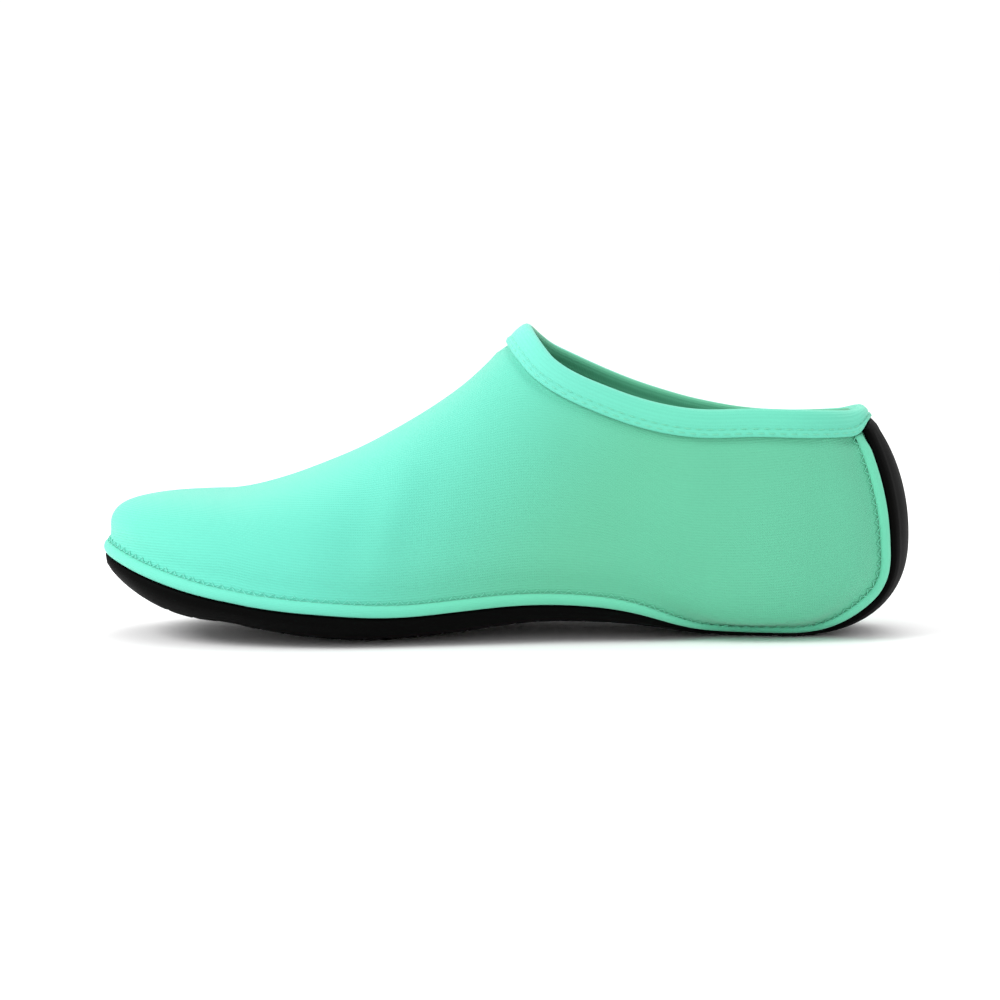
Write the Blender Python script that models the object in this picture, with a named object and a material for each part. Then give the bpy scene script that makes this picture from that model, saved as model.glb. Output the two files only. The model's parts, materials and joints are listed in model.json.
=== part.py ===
"""Slip-on water shoe: stretch upper on a thin rubber sole that runs up the back of the heel.

The toe points along -X, the heel along +X and the medial side along -Y. The floor is z = 0.
Every piece is an offset of one form, the outside of the upper, so that the pieces share its shape.
"""

import math
from collections import Counter, namedtuple

import bmesh
import bpy
import numpy as np
from mathutils import Vector

# Driving sizes, in metres
LENGTH = 0.250
BALL_WIDTH = 0.0925
TOE_HEIGHT = 0.044
INSTEP_HEIGHT = 0.0943
HEEL_HEIGHT = 0.0686
TOE_SPRING = 0.0054
ARCH_LIFT = 0.0046
WALL = 0.0018
SOLE = 0.0024
RIM = 0.0021
RIM_HEIGHT = 0.0245
LASTING_MARGIN = 0.012
HEM = 0.008
HEM_AT_HEEL = 0.0046
HEM_FABRIC = 0.0009
HEM_CAP = 0.0024
PIPING_WIDTH = 0.0046
PIPING_HEIGHT = 0.0018
PIPING_FIT = 0.0005
INSOLE = 0.0028
INSOLE_RISE = 0.0034
FIT = 0.0003
INSOLE_FIT = 0.0008

# Middle of the finished shoe in the plan's shares, which puts the origin under its middle
MIDDLE_ALONG = 0.4986
MIDDLE_ACROSS = 0.0268

# Places along the shoe, as shares of its length from the toe
TOE_POLE = 0.156
THROAT = 0.5236
HEEL_POLE = 0.852
MOUTH = 0.73
THROAT_LEAN = 0.052

# Turn of the strip's edge from the heel's side, as a share of the quarter turn, at its foot and its top
STRIP_FOOT = 0.655
STRIP_TOP = 0.56

# Where the piping ends below the hem, as a share of the wall's last row
PIPING_END = 0.5

# How finely the form is divided, on each side of the shoe
TOE_COLUMNS = 8
INSTEP_COLUMNS = 10
COLLAR_COLUMNS = 11
HEEL_COLUMNS = 8
STRIP_COLUMNS = 3
BOTTOM_ROWS = 3
MARGIN_ROWS = 4
WALL_ROWS = 9

MEDIAL = -1
LATERAL = 1

# Plan of the upper at its widest: along is a share of the length, across a share of the ball width
PlanPoint = namedtuple("PlanPoint", "along across")
PLAN = [
    PlanPoint(0.9888, 0.016),
    PlanPoint(0.955, -0.225),
    PlanPoint(0.862, -0.327),
    PlanPoint(0.740, -0.340),
    PlanPoint(0.620, -0.334),
    PlanPoint(0.500, -0.362),
    PlanPoint(0.380, -0.422),
    PlanPoint(0.270, -0.462),
    PlanPoint(0.170, -0.438),
    PlanPoint(0.093, -0.366),
    PlanPoint(0.038, -0.244),
    PlanPoint(0.0090, -0.066),
    PlanPoint(0.030, 0.140),
    PlanPoint(0.087, 0.300),
    PlanPoint(0.165, 0.418),
    PlanPoint(0.265, 0.495),
    PlanPoint(0.365, 0.524),
    PlanPoint(0.480, 0.508),
    PlanPoint(0.600, 0.452),
    PlanPoint(0.725, 0.394),
    PlanPoint(0.850, 0.354),
    PlanPoint(0.955, 0.247),
]

# Sections from toe to heel. spine is a share of the ball width, widest a share of the heel height and
# ridge a share of the climb from toe to instep; behind the throat the ridge is that of the missing leg.
# spring and arch are shares of their sizes, and under and over are the roundness exponents.
Section = namedtuple("Section", "along spine widest ridge spring arch under over")
SECTIONS = [
    Section(0.008, -0.050, 0.400, 0.000, 1.00, 0.00, 1.75, 3.60),
    Section(0.090, -0.050, 0.350, 0.000, 1.00, 0.00, 2.60, 3.20),
    Section(0.156, -0.050, 0.320, 0.000, 1.00, 0.00, 3.10, 2.90),
    Section(0.200, -0.040, 0.310, 0.038, 0.62, 0.00, 3.40, 2.70),
    Section(0.260, -0.020, 0.306, 0.135, 0.20, 0.00, 3.60, 2.50),
    Section(0.340, 0.000, 0.306, 0.310, 0.00, 0.00, 3.80, 2.35),
    Section(0.440, 0.010, 0.320, 0.620, 0.00, 0.40, 3.60, 2.20),
    Section(0.524, 0.015, 0.350, 1.000, 0.00, 0.94, 3.40, 2.15),
    Section(0.580, 0.018, 0.364, 1.190, 0.00, 1.00, 3.40, 2.10),
    Section(0.660, 0.018, 0.379, 1.270, 0.00, 0.80, 3.80, 2.10),
    Section(0.748, 0.014, 0.394, 1.250, 0.00, 0.22, 4.20, 2.10),
    Section(0.852, 0.012, 0.408, 1.110, 0.00, 0.00, 4.00, 2.10),
    Section(0.932, 0.012, 0.423, 0.835, 0.00, 0.00, 2.90, 2.00),
    Section(0.989, 0.012, 0.437, 0.650, 0.00, 0.00, 2.40, 2.00),
]

# Seam between upper and rubber: its height on each side, as a share of the rim height at the toe
SeamPoint = namedtuple("SeamPoint", "along medial lateral")
SEAM = [
    SeamPoint(0.008, 1.000, 1.000),
    SeamPoint(0.046, 0.850, 0.850),
    SeamPoint(0.095, 0.690, 0.690),
    SeamPoint(0.156, 0.550, 0.550),
    SeamPoint(0.220, 0.450, 0.450),
    SeamPoint(0.290, 0.390, 0.390),
    SeamPoint(0.350, 0.352, 0.352),
    SeamPoint(0.400, 0.370, 0.365),
    SeamPoint(0.450, 0.430, 0.400),
    SeamPoint(0.510, 0.470, 0.430),
    SeamPoint(0.570, 0.475, 0.435),
    SeamPoint(0.620, 0.440, 0.410),
    SeamPoint(0.665, 0.370, 0.355),
    SeamPoint(0.700, 0.260, 0.255),
    SeamPoint(0.735, 0.170, 0.170),
    SeamPoint(0.770, 0.128, 0.128),
    SeamPoint(0.820, 0.116, 0.116),
    SeamPoint(0.875, 0.119, 0.119),
    SeamPoint(0.910, 0.142, 0.142),
    SeamPoint(0.930, 0.192, 0.192),
    SeamPoint(0.946, 0.270, 0.270),
    SeamPoint(0.960, 0.430, 0.430),
    SeamPoint(0.969, 0.660, 0.660),
    SeamPoint(0.989, 0.700, 0.700),
]

# Collar line on each side, as a share of the drop from the instep's height to the heel's
CollarPoint = namedtuple("CollarPoint", "along medial lateral")
COLLAR = [
    CollarPoint(0.5236, 1.000, 1.000),
    CollarPoint(0.538, 0.845, 0.850),
    CollarPoint(0.554, 0.700, 0.720),
    CollarPoint(0.580, 0.560, 0.588),
    CollarPoint(0.620, 0.400, 0.404),
    CollarPoint(0.660, 0.253, 0.245),
    CollarPoint(0.700, 0.135, 0.117),
    CollarPoint(0.740, 0.070, 0.012),
    CollarPoint(0.800, 0.060, -0.090),
    CollarPoint(0.860, 0.040, -0.115),
    CollarPoint(0.940, 0.012, -0.065),
    CollarPoint(0.989, 0.000, 0.000),
]


def blend(table, column, along):
    """A smooth curve through one column of a table, read at a share of the length."""
    stations = [row.along for row in table]
    values = [getattr(row, column) for row in table]
    place = min(max(along, stations[0]), stations[-1])
    last = len(table) - 1
    left = min(max(int(np.searchsorted(stations, place)) - 1, 0), last - 1)
    right = left + 1

    def slope(index):
        before = max(index - 1, 0)
        after = min(index + 1, last)
        return (values[after] - values[before]) / (stations[after] - stations[before])

    span = stations[right] - stations[left]
    share = (place - stations[left]) / span
    start = slope(left) * span
    end = slope(right) * span
    rise = values[right] - values[left]
    bend = 3.0 * rise - 2.0 * start - end
    twist = start + end - 2.0 * rise
    return values[left] + share * (start + share * (bend + share * twist))


def plan_curve(steps=24):
    """The closed plan outline as a dense smooth curve in metres."""
    knots = np.array([(row.along, row.across) for row in PLAN])
    count = len(knots)
    points = []
    for index in range(count):
        p0 = knots[index - 1]
        p1 = knots[index]
        p2 = knots[(index + 1) % count]
        p3 = knots[(index + 2) % count]
        for step in range(steps):
            t = step / steps
            a = -p0 + 3.0 * p1 - 3.0 * p2 + p3
            b = 2.0 * p0 - 5.0 * p1 + 4.0 * p2 - p3
            c = p2 - p0
            points.append(0.5 * (2.0 * p1 + t * (c + t * (b + t * a))))
    points.append(points[0])
    curve = np.array(points)
    curve[:, 0] = (curve[:, 0] - MIDDLE_ALONG) * LENGTH
    curve[:, 1] = (curve[:, 1] - MIDDLE_ACROSS) * BALL_WIDTH
    return curve


CURVE = plan_curve()


def place_x(along):
    """The x coordinate of a share of the length."""
    return (along - MIDDLE_ALONG) * LENGTH


def share_of(x):
    """The share of the length at an x coordinate."""
    return x / LENGTH + MIDDLE_ALONG


def spine_y(along):
    """The y coordinate of the form's spine."""
    return (blend(SECTIONS, "spine", along) - MIDDLE_ACROSS) * BALL_WIDTH


def side_arrays():
    """For each side, the plan curve sorted from toe to heel."""
    tip = int(np.argmin(CURVE[:, 0]))
    medial = CURVE[: tip + 1][::-1]
    lateral = CURVE[tip:]
    return {MEDIAL: medial, LATERAL: lateral}


SIDES = side_arrays()


def ray_tables():
    """For each side and each end, the plan curve by its turn about that end's pole."""
    toe = np.array((place_x(TOE_POLE), spine_y(TOE_POLE)))
    heel = np.array((place_x(HEEL_POLE), spine_y(HEEL_POLE)))
    tables = {}
    for side in (MEDIAL, LATERAL):
        from_toe = CURVE - toe
        from_heel = CURVE - heel
        toe_turn = np.arctan2(side * from_toe[:, 1], -from_toe[:, 0])
        heel_turn = np.arctan2(from_heel[:, 0], side * from_heel[:, 1])
        for end, turns in (("toe", toe_turn), ("heel", heel_turn)):
            keep = np.abs(turns) < math.radians(140)
            order = np.argsort(turns[keep])
            tables[side, end] = (turns[keep][order], CURVE[keep][order])
    return tables


RAYS = ray_tables()


def reach(side, end, turn):
    """The plan point met by a ray from one end's pole at a turn of 0 to 90 degrees."""
    turns, curve = RAYS[side, end]
    x = float(np.interp(turn, turns, curve[:, 0]))
    y = float(np.interp(turn, turns, curve[:, 1]))
    return x, y


Station = namedtuple("Station", "cx cy px py bottom widest ridge under over")


def station(side, g):
    """The half section at g: -1 to 0 turns round the toe, 0 to 1 runs along, 1 to 2 turns round the heel."""
    if g < 0.0:
        cx = place_x(TOE_POLE)
        cy = spine_y(TOE_POLE)
        px, py = reach(side, "toe", (g + 1.0) * math.pi / 2.0)
    elif g > 1.0:
        cx = place_x(HEEL_POLE)
        cy = spine_y(HEEL_POLE)
        px, py = reach(side, "heel", (g - 1.0) * math.pi / 2.0)
    else:
        cx = place_x(TOE_POLE + (HEEL_POLE - TOE_POLE) * g)
        cy = spine_y(share_of(cx))
        px = cx
        curve = SIDES[side]
        py = float(np.interp(px, curve[:, 0], curve[:, 1]))
    along = share_of(px)
    base = min(max(along, TOE_POLE), HEEL_POLE)
    bottom = SOLE + TOE_SPRING * blend(SECTIONS, "spring", base) + ARCH_LIFT * blend(SECTIONS, "arch", base)
    widest = HEEL_HEIGHT * blend(SECTIONS, "widest", along)
    climb = blend(SECTIONS, "ridge", max(along, TOE_POLE))
    ridge = TOE_HEIGHT + (INSTEP_HEIGHT - TOE_HEIGHT) * climb
    under = blend(SECTIONS, "under", along)
    over = blend(SECTIONS, "over", along)
    return Station(cx, cy, px, py, bottom, widest, ridge, under, over)


def form(side, g, turn):
    """A point of the form: turn runs from -90 degrees underneath to 90 degrees on the ridge."""
    s = station(side, g)
    power = s.over if turn > 0.0 else s.under
    c = abs(math.cos(turn))
    h = abs(math.sin(turn))
    scale = (c**power + h**power) ** (-1.0 / power)
    out = c * scale if abs(turn) <= math.pi / 2.0 else -c * scale
    if turn > 0.0:
        z = s.widest + (s.ridge - s.widest) * h * scale
    else:
        z = s.widest - (s.widest - s.bottom) * h * scale
    return Vector((s.cx + (s.px - s.cx) * out, s.cy + (s.py - s.cy) * out, z))


def turn_at_height(side, g, z):
    """The turn at which the form has a height."""
    s = station(side, g)
    if z > s.widest:
        power = s.over
        rise = min((z - s.widest) / (s.ridge - s.widest), 1.0)
    else:
        power = s.under
        rise = min((s.widest - z) / (s.widest - s.bottom), 1.0)
    out = (1.0 - rise**power) ** (1.0 / power)
    turn = math.atan2(rise, out)
    return turn if z > s.widest else -turn


def slopes(side, g, turn):
    """How the form moves with g and with turn."""
    dg = 0.004
    dt = 0.006
    turn = min(max(turn, -math.radians(88.5)), math.radians(88.5))
    low = max(g - dg, -1.0)
    high = min(g + dg, 2.0)
    along = (form(side, high, turn) - form(side, low, turn)) / (high - low)
    around = (form(side, g, turn + dt) - form(side, g, turn - dt)) / (2.0 * dt)
    return along, around


def normal(side, g, turn):
    """The outward normal of the form."""
    along, around = slopes(side, g, turn)
    n = along.cross(around).normalized()
    centre = station(side, g)
    out = form(side, g, turn) - Vector((centre.cx, centre.cy, centre.widest))
    return n if n.dot(out) > 0.0 else -n


def walk(side, g, turn, direction, distance, steps=4):
    """Where a walk over the form ends, as g and turn, from a start, a direction and a distance."""
    leg = direction.normalized() * (distance / steps)
    for _ in range(steps):
        along, around = slopes(side, g, turn)
        aa = along.dot(along)
        ab = along.dot(around)
        bb = around.dot(around)
        la = leg.dot(along)
        lb = leg.dot(around)
        det = aa * bb - ab * ab
        g += (la * bb - lb * ab) / det
        turn += (lb * aa - la * ab) / det
        turn = min(turn, math.pi / 2.0)
    return g, turn


def seam_turn(side, g):
    """The turn of the seam between upper and rubber."""
    s = station(side, g)
    column = "medial" if side == MEDIAL else "lateral"
    share = blend(SEAM, column, share_of(s.px))
    return turn_at_height(side, g, max(share * RIM_HEIGHT, s.bottom + 0.0002))


def collar_turn(side, g):
    """The turn of the collar's edge."""
    s = station(side, g)
    column = "medial" if side == MEDIAL else "lateral"
    share = blend(COLLAR, column, share_of(s.px))
    z = HEEL_HEIGHT + (INSTEP_HEIGHT - HEEL_HEIGHT) * share
    return turn_at_height(side, g, z)


def hem_width(g):
    """The width of the collar's hem, narrower over the strip at the heel."""
    share = min(max((g - 1.0 - STRIP_TOP + 0.12) / 0.24, 0.0), 1.0)
    ease = share * share * (3.0 - 2.0 * share)
    return HEM + (HEM_AT_HEEL - HEM) * ease


Spot = namedtuple("Spot", "side g turn")


def where(spot):
    """The point of a spot on the form."""
    return form(spot.side, spot.g, spot.turn)


def out_of(spot):
    """The normal at a spot on the form."""
    return normal(spot.side, spot.g, spot.turn)


def lifted(spot, height):
    """The point at a height over a spot on the form."""
    return where(spot) + out_of(spot) * height


def collar_spots():
    """The collar's edge on each side, from the throat to the middle of the heel."""
    spots = {}
    start = (THROAT - TOE_POLE) / (HEEL_POLE - TOE_POLE)
    for side in (MEDIAL, LATERAL):
        edge = []
        for index in range(COLLAR_COLUMNS + 1):
            g = start + (1.0 - start) * (index / COLLAR_COLUMNS) ** 1.85
            edge.append(Spot(side, g, collar_turn(side, g)))
        edge[0] = Spot(side, start, math.pi / 2.0)
        for g in heel_turns(STRIP_TOP):
            edge.append(Spot(side, g, collar_turn(side, g)))
        spots[side] = edge
    return spots


def heel_turns(edge):
    """The columns round the heel, with one on the strip's edge."""
    side = [1.0 + edge * (index + 1) / HEEL_COLUMNS for index in range(HEEL_COLUMNS)]
    back = [1.0 + edge + (1.0 - edge) * (index + 1) / STRIP_COLUMNS for index in range(STRIP_COLUMNS)]
    return side + back


def ring(edges, index, distance):
    """The spot at a distance down from the collar's edge."""
    medial, lateral = edges[MEDIAL], edges[LATERAL]
    last = len(medial) - 1
    loop = medial + lateral[-2:0:-1]
    count = len(loop)
    here = loop[index]
    ahead = where(loop[(index + 1) % count])
    behind = where(loop[index - 1])
    tangent = ahead - behind
    if index in (0, last):
        tangent = Vector((0.0, tangent.y, 0.0))
    away = out_of(here).cross(tangent)
    down = where(here) - Vector((place_x(MOUTH), spine_y(MOUTH), 2.0 * INSTEP_HEIGHT))
    if away.dot(down) < 0.0:
        away = -away
    if index == 0:
        away.y = 0.0
    g, turn = walk(here.side, here.g, here.turn, away, distance)
    if index == 0:
        turn = math.pi / 2.0
    if index == last:
        g = 2.0
    return Spot(here.side, g, turn)


def ring_rows(edges, distances):
    """For each distance rule, the closed ring of spots round the collar."""
    count = 2 * (len(edges[MEDIAL]) - 1)
    loop = edges[MEDIAL] + edges[LATERAL][-2:0:-1]
    rows = []
    for rule in distances:
        rows.append([ring(edges, index, rule(hem_width(loop[index].g))) for index in range(count)])
    return rows


def resample(spots, count):
    """Spots evenly spaced by distance along a path of spots."""
    points = [where(spot) for spot in spots]
    lengths = [0.0]
    for a, b in zip(points, points[1:]):
        lengths.append(lengths[-1] + (b - a).length)
    return [spot_at(spots, lengths, lengths[-1] * index / count) for index in range(count + 1)]


def spot_at(spots, lengths, distance):
    """The spot at a distance along a path."""
    g = float(np.interp(distance, lengths, [spot.g for spot in spots]))
    turn = float(np.interp(distance, lengths, [spot.turn for spot in spots]))
    return Spot(spots[0].side, g, turn)


def bottom_path(side, g):
    """The path from the middle of the bottom up to the seam, with its lengths."""
    top = seam_turn(side, g)
    turns = np.linspace(-math.pi / 2.0, top, 60)
    spots = [Spot(side, g, float(turn)) for turn in turns]
    points = [where(spot) for spot in spots]
    lengths = [0.0]
    for a, b in zip(points, points[1:]):
        lengths.append(lengths[-1] + (b - a).length)
    return spots, lengths


def bottom_rows(side, g):
    """Spots from the middle of the bottom to the seam: bare sole first, then the lasting margin."""
    spots, lengths = bottom_path(side, g)
    margin = min(LASTING_MARGIN, 0.7 * lengths[-1])
    start = lengths[-1] - margin
    bare = [start * (index / BOTTOM_ROWS) for index in range(BOTTOM_ROWS)]
    under = [start + margin * index / MARGIN_ROWS for index in range(MARGIN_ROWS + 1)]
    rows = [spot_at(spots, lengths, distance) for distance in bare + under]
    rows[0] = Spot(side, g, -math.pi / 2.0)
    return rows


def column_feet():
    """The foot of each column along one side, from the toe's tip to the middle of the heel."""
    throat = (THROAT - TOE_POLE - THROAT_LEAN) / (HEEL_POLE - TOE_POLE)
    feet = [-1.0 + index / TOE_COLUMNS for index in range(TOE_COLUMNS)]
    feet += [throat * index / INSTEP_COLUMNS for index in range(INSTEP_COLUMNS)]
    feet += [throat + (1.0 - throat) * index / COLLAR_COLUMNS for index in range(COLLAR_COLUMNS + 1)]
    feet += heel_turns(STRIP_FOOT)
    return feet


def column_heads(side, hem_line):
    """The head of each column: on the ridge ahead of the throat, then on the hem's lower line."""
    ridge_end = hem_line[0].g
    heads = [Spot(side, 0.0, math.pi / 2.0) for _ in range(TOE_COLUMNS)]
    for index in range(INSTEP_COLUMNS):
        heads.append(Spot(side, ridge_end * index / INSTEP_COLUMNS, math.pi / 2.0))
    return heads + hem_line


def wall_rows(side, foot, head):
    """Spots up the wall from the seam to the head of a column."""
    start = seam_turn(side, foot)
    spots = []
    for index in range(41):
        share = index / 40
        turn = start + (head.turn - start) * share
        g = foot if foot <= 0.0 else foot + (head.g - foot) * share * share
        spots.append(Spot(side, g, turn))
    return resample(spots, WALL_ROWS)


class Net:
    """A surface of shared points, each with its normal."""

    def __init__(self):
        self.index = {}
        self.points = []
        self.normals = []
        self.faces = []

    def vertex(self, spot):
        point = where(spot)
        key = (round(point.x, 6), round(point.y, 6), round(point.z, 6))
        n = out_of(spot)
        if key not in self.index:
            self.index[key] = len(self.points)
            self.points.append(point)
            self.normals.append(Vector((0.0, 0.0, 0.0)))
        place = self.index[key]
        self.normals[place] += n
        return place

    def grid(self, columns):
        """Add the faces between neighbouring columns of spots."""
        rows = [[self.vertex(spot) for spot in column] for column in columns]
        for left, right in zip(rows, rows[1:]):
            for low in range(len(left) - 1):
                ring_of_four = [left[low], right[low], right[low + 1], left[low + 1]]
                face = [v for i, v in enumerate(ring_of_four) if v != ring_of_four[i - 1]]
                if len(set(face)) >= 3:
                    self.faces.append(face)

    def shell(self, name, outer, inner, floor=None):
        """A closed solid between two offsets, each a function of the spot's point and normal."""
        normals = [n.normalized() for n in self.normals]
        faces = self.outward(normals)
        mesh = bmesh.new()
        top = []
        low = []
        for point, n in zip(self.points, normals):
            high = point + n * outer(point, n)
            if floor is not None:
                high.z = max(high.z, floor)
            top.append(mesh.verts.new(high))
            low.append(mesh.verts.new(point + n * inner(point, n)))
        used = Counter()
        for face in faces:
            used.update(frozenset(edge) for edge in zip(face, face[1:] + face[:1]))
        for face in faces:
            mesh.faces.new([top[v] for v in face])
            mesh.faces.new([low[v] for v in reversed(face)])
            for a, b in zip(face, face[1:] + face[:1]):
                if used[frozenset((a, b))] == 1:
                    mesh.faces.new([top[b], top[a], low[a], low[b]])
        return finish(name, mesh)

    def outward(self, normals):
        """The net's triangles, each wound so that it looks outward."""
        triangles = []
        for face in self.faces:
            for b, c in zip(face[1:], face[2:]):
                corners = [face[0], b, c]
                across = (self.points[b] - self.points[face[0]]).cross(self.points[c] - self.points[face[0]])
                mean = normals[face[0]] + normals[b] + normals[c]
                triangles.append(corners if across.dot(mean) > 0.0 else corners[::-1])
        return triangles


def finish(name, mesh):
    """Turn a bmesh into a named object with smooth faces and its material."""
    bmesh.ops.recalc_face_normals(mesh, faces=mesh.faces)
    data = bpy.data.meshes.new(name)
    mesh.to_mesh(data)
    mesh.free()
    for polygon in data.polygons:
        polygon.use_smooth = True
    piece = bpy.data.objects.new(name, data)
    bpy.context.collection.objects.link(piece)
    piece.data.materials.append(material(name))
    return piece


Finish = namedtuple("Finish", "colour roughness")
FINISHES = {
    "upper": Finish((0.178, 0.791, 0.565, 1.0), 0.7),
    "outsole": Finish((0.008, 0.008, 0.009, 1.0), 0.55),
    "collar_binding": Finish((0.216, 0.847, 0.638, 1.0), 0.6),
    "seam_piping": Finish((0.239, 0.880, 0.680, 1.0), 0.6),
    "insole": Finish((0.045, 0.180, 0.130, 1.0), 0.9),
}


def material(name):
    """The material of a piece."""
    look = FINISHES[name]
    made = bpy.data.materials.new(name)
    made.use_nodes = True
    shader = made.node_tree.nodes["Principled BSDF"]
    shader.inputs["Base Color"].default_value = look.colour
    shader.inputs["Roughness"].default_value = look.roughness
    shader.inputs["Metallic"].default_value = 0.0
    made.diffuse_color = look.colour
    return made


class Grid:
    """The columns of spots that the pieces share."""

    def __init__(self):
        self.feet = column_feet()
        self.edges = collar_spots()
        self.throat = TOE_COLUMNS + INSTEP_COLUMNS
        self.strip = self.throat + COLLAR_COLUMNS + HEEL_COLUMNS
        self.last = len(self.feet) - 1
        self.hem_rows = ring_rows(
            self.edges,
            [
                lambda hem: hem,
                lambda hem: 0.5 * hem,
                lambda hem: 0.0,
            ],
        )
        self.bottom = {}
        self.wall = {}
        for side in (MEDIAL, LATERAL):
            heads = column_heads(side, self.ring_side(self.hem_rows[0], side))
            self.bottom[side] = [bottom_rows(side, g) for g in self.feet]
            self.wall[side] = [wall_rows(side, g, head) for g, head in zip(self.feet, heads)]

    def ring_side(self, row, side):
        """One side of a ring, from the throat to the middle of the heel."""
        count = len(self.edges[MEDIAL])
        if side == MEDIAL:
            return row[:count]
        return [row[0]] + row[: count - 2 : -1]


def make_upper(grid):
    """Stretch upper: one wall from the lasting margin to the collar, open underneath."""
    net = Net()
    for side in (MEDIAL, LATERAL):
        columns = []
        for bottom, wall in zip(grid.bottom[side], grid.wall[side]):
            columns.append(bottom[BOTTOM_ROWS:-1] + wall)
        net.grid(columns)
    count = len(grid.hem_rows[0])
    rings = [[row[index % count] for row in grid.hem_rows] for index in range(count + 1)]
    net.grid(rings)
    return net.shell("upper", lambda point, n: 0.0, lambda point, n: -WALL)


def make_outsole(grid):
    """Rubber sole with its turned-up rim and the strip that runs up the heel."""
    net = Net()
    for side in (MEDIAL, LATERAL):
        net.grid(grid.bottom[side])
        net.grid(grid.wall[side][grid.strip:])

    def outer(point, n):
        return RIM + (SOLE + 0.0002 - RIM) * max(-n.z, 0.0) ** 2

    return net.shell("outsole", outer, lambda point, n: FIT, floor=0.0)


def make_insole(grid):
    """Foam insole on the lasting margin."""
    net = Net()
    for side in (MEDIAL, LATERAL):
        columns = []
        for g in grid.feet:
            s = station(side, g)
            top = turn_at_height(side, g, s.bottom + INSOLE_RISE)
            path = [Spot(side, g, float(t)) for t in np.linspace(-math.pi / 2.0, top, 40)]
            rows = resample(path, 4)
            rows[0] = Spot(side, g, -math.pi / 2.0)
            columns.append(rows)
        net.grid(columns)
    base = WALL + INSOLE_FIT
    return net.shell("insole", lambda point, n: -base, lambda point, n: -base - INSOLE)


def sweep(name, sections, closed):
    """A solid through like sections, joined in a loop or capped at both ends."""
    mesh = bmesh.new()
    rings = [[mesh.verts.new(point) for point in section] for section in sections]
    pairs = list(zip(rings, rings[1:]))
    if closed:
        pairs.append((rings[-1], rings[0]))
    for left, right in pairs:
        count = len(left)
        for index in range(count):
            after = (index + 1) % count
            mesh.faces.new([left[index], left[after], right[after], right[index]])
    if not closed:
        mesh.faces.new(rings[0])
        mesh.faces.new(list(reversed(rings[-1])))
    return finish(name, mesh)


def make_binding(grid):
    """Fabric folded over the collar's edge, thicker where it caps the heel strip."""
    edges = grid.edges
    loop = edges[MEDIAL] + edges[LATERAL][-2:0:-1]
    inside = WALL + FIT
    sections = []
    for index in range(len(loop)):
        hem = hem_width(loop[index].g)
        cap = HEM_FABRIC + (HEM_CAP - HEM_FABRIC) * (HEM - hem) / (HEM - HEM_AT_HEEL)
        profile = [
            (hem - FIT, FIT),
            (hem - FIT, FIT + 0.6 * cap),
            (0.86 * hem, FIT + cap),
            (0.45 * hem, FIT + cap),
            (0.0, FIT + 0.8 * cap),
            (-FIT - 0.7 * HEM_FABRIC, 0.1 * cap),
            (-FIT - HEM_FABRIC, -0.5 * WALL),
            (-FIT - 0.7 * HEM_FABRIC, -WALL),
            (0.0, -inside - 0.8 * HEM_FABRIC),
            (0.45 * hem, -inside - HEM_FABRIC),
            (0.86 * hem, -inside - HEM_FABRIC),
            (hem - FIT, -inside - 0.6 * HEM_FABRIC),
            (hem - FIT, -inside),
            (0.45 * hem, -inside),
            (-FIT, -inside),
            (-FIT, FIT),
            (0.45 * hem, FIT),
        ]
        sections.append([lifted(ring(edges, index, distance), height) for distance, height in profile])
    return sweep("collar_binding", sections, True)


def seam_line(grid, side):
    """The seam from the toe's tip along the rim and up the strip's edge."""
    rim = [rows[-1] for rows in grid.bottom[side][: grid.strip + 1]]
    edge = grid.wall[side][grid.strip]
    low, high = edge[-2:]
    end = Spot(side, low.g + PIPING_END * (high.g - low.g), low.turn + PIPING_END * (high.turn - low.turn))
    return rim + edge[1:-1] + [end]


def make_piping(grid):
    """Raised piping on the upper, along the rubber's edge from heel to heel round the toe."""
    line = list(reversed(seam_line(grid, MEDIAL))) + seam_line(grid, LATERAL)[1:]
    points = [where(spot) for spot in line]
    sections = []
    last = len(line) - 1
    for index, spot in enumerate(line):
        tangent = points[min(index + 1, last)] - points[max(index - 1, 0)]
        away = tangent.cross(out_of(spot))
        profile = [
            (FIT, PIPING_FIT),
            (FIT, PIPING_FIT + 0.62 * PIPING_HEIGHT),
            (0.2 * PIPING_WIDTH, PIPING_FIT + 0.95 * PIPING_HEIGHT),
            (0.5 * PIPING_WIDTH, PIPING_FIT + PIPING_HEIGHT),
            (0.82 * PIPING_WIDTH, PIPING_FIT + 0.6 * PIPING_HEIGHT),
            (PIPING_WIDTH, PIPING_FIT),
            (0.66 * PIPING_WIDTH, PIPING_FIT),
            (0.33 * PIPING_WIDTH, PIPING_FIT),
        ]
        section = []
        for distance, height in profile:
            g, turn = walk(spot.side, spot.g, spot.turn, away, distance)
            section.append(lifted(Spot(spot.side, g, turn), height))
        sections.append(section)
    return sweep("seam_piping", sections, False)


def main():
    """Build the shoe."""
    for old in list(bpy.data.objects):
        bpy.data.objects.remove(old, do_unlink=True)
    grid = Grid()
    make_upper(grid)
    make_outsole(grid)
    make_insole(grid)
    make_binding(grid)
    make_piping(grid)


main()
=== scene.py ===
"""Slip-on water shoe in stretch knit and moulded rubber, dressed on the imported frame.

The toe points along -X, the heel along +X and the medial side along -Y. The floor is z = 0.
"""

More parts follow.
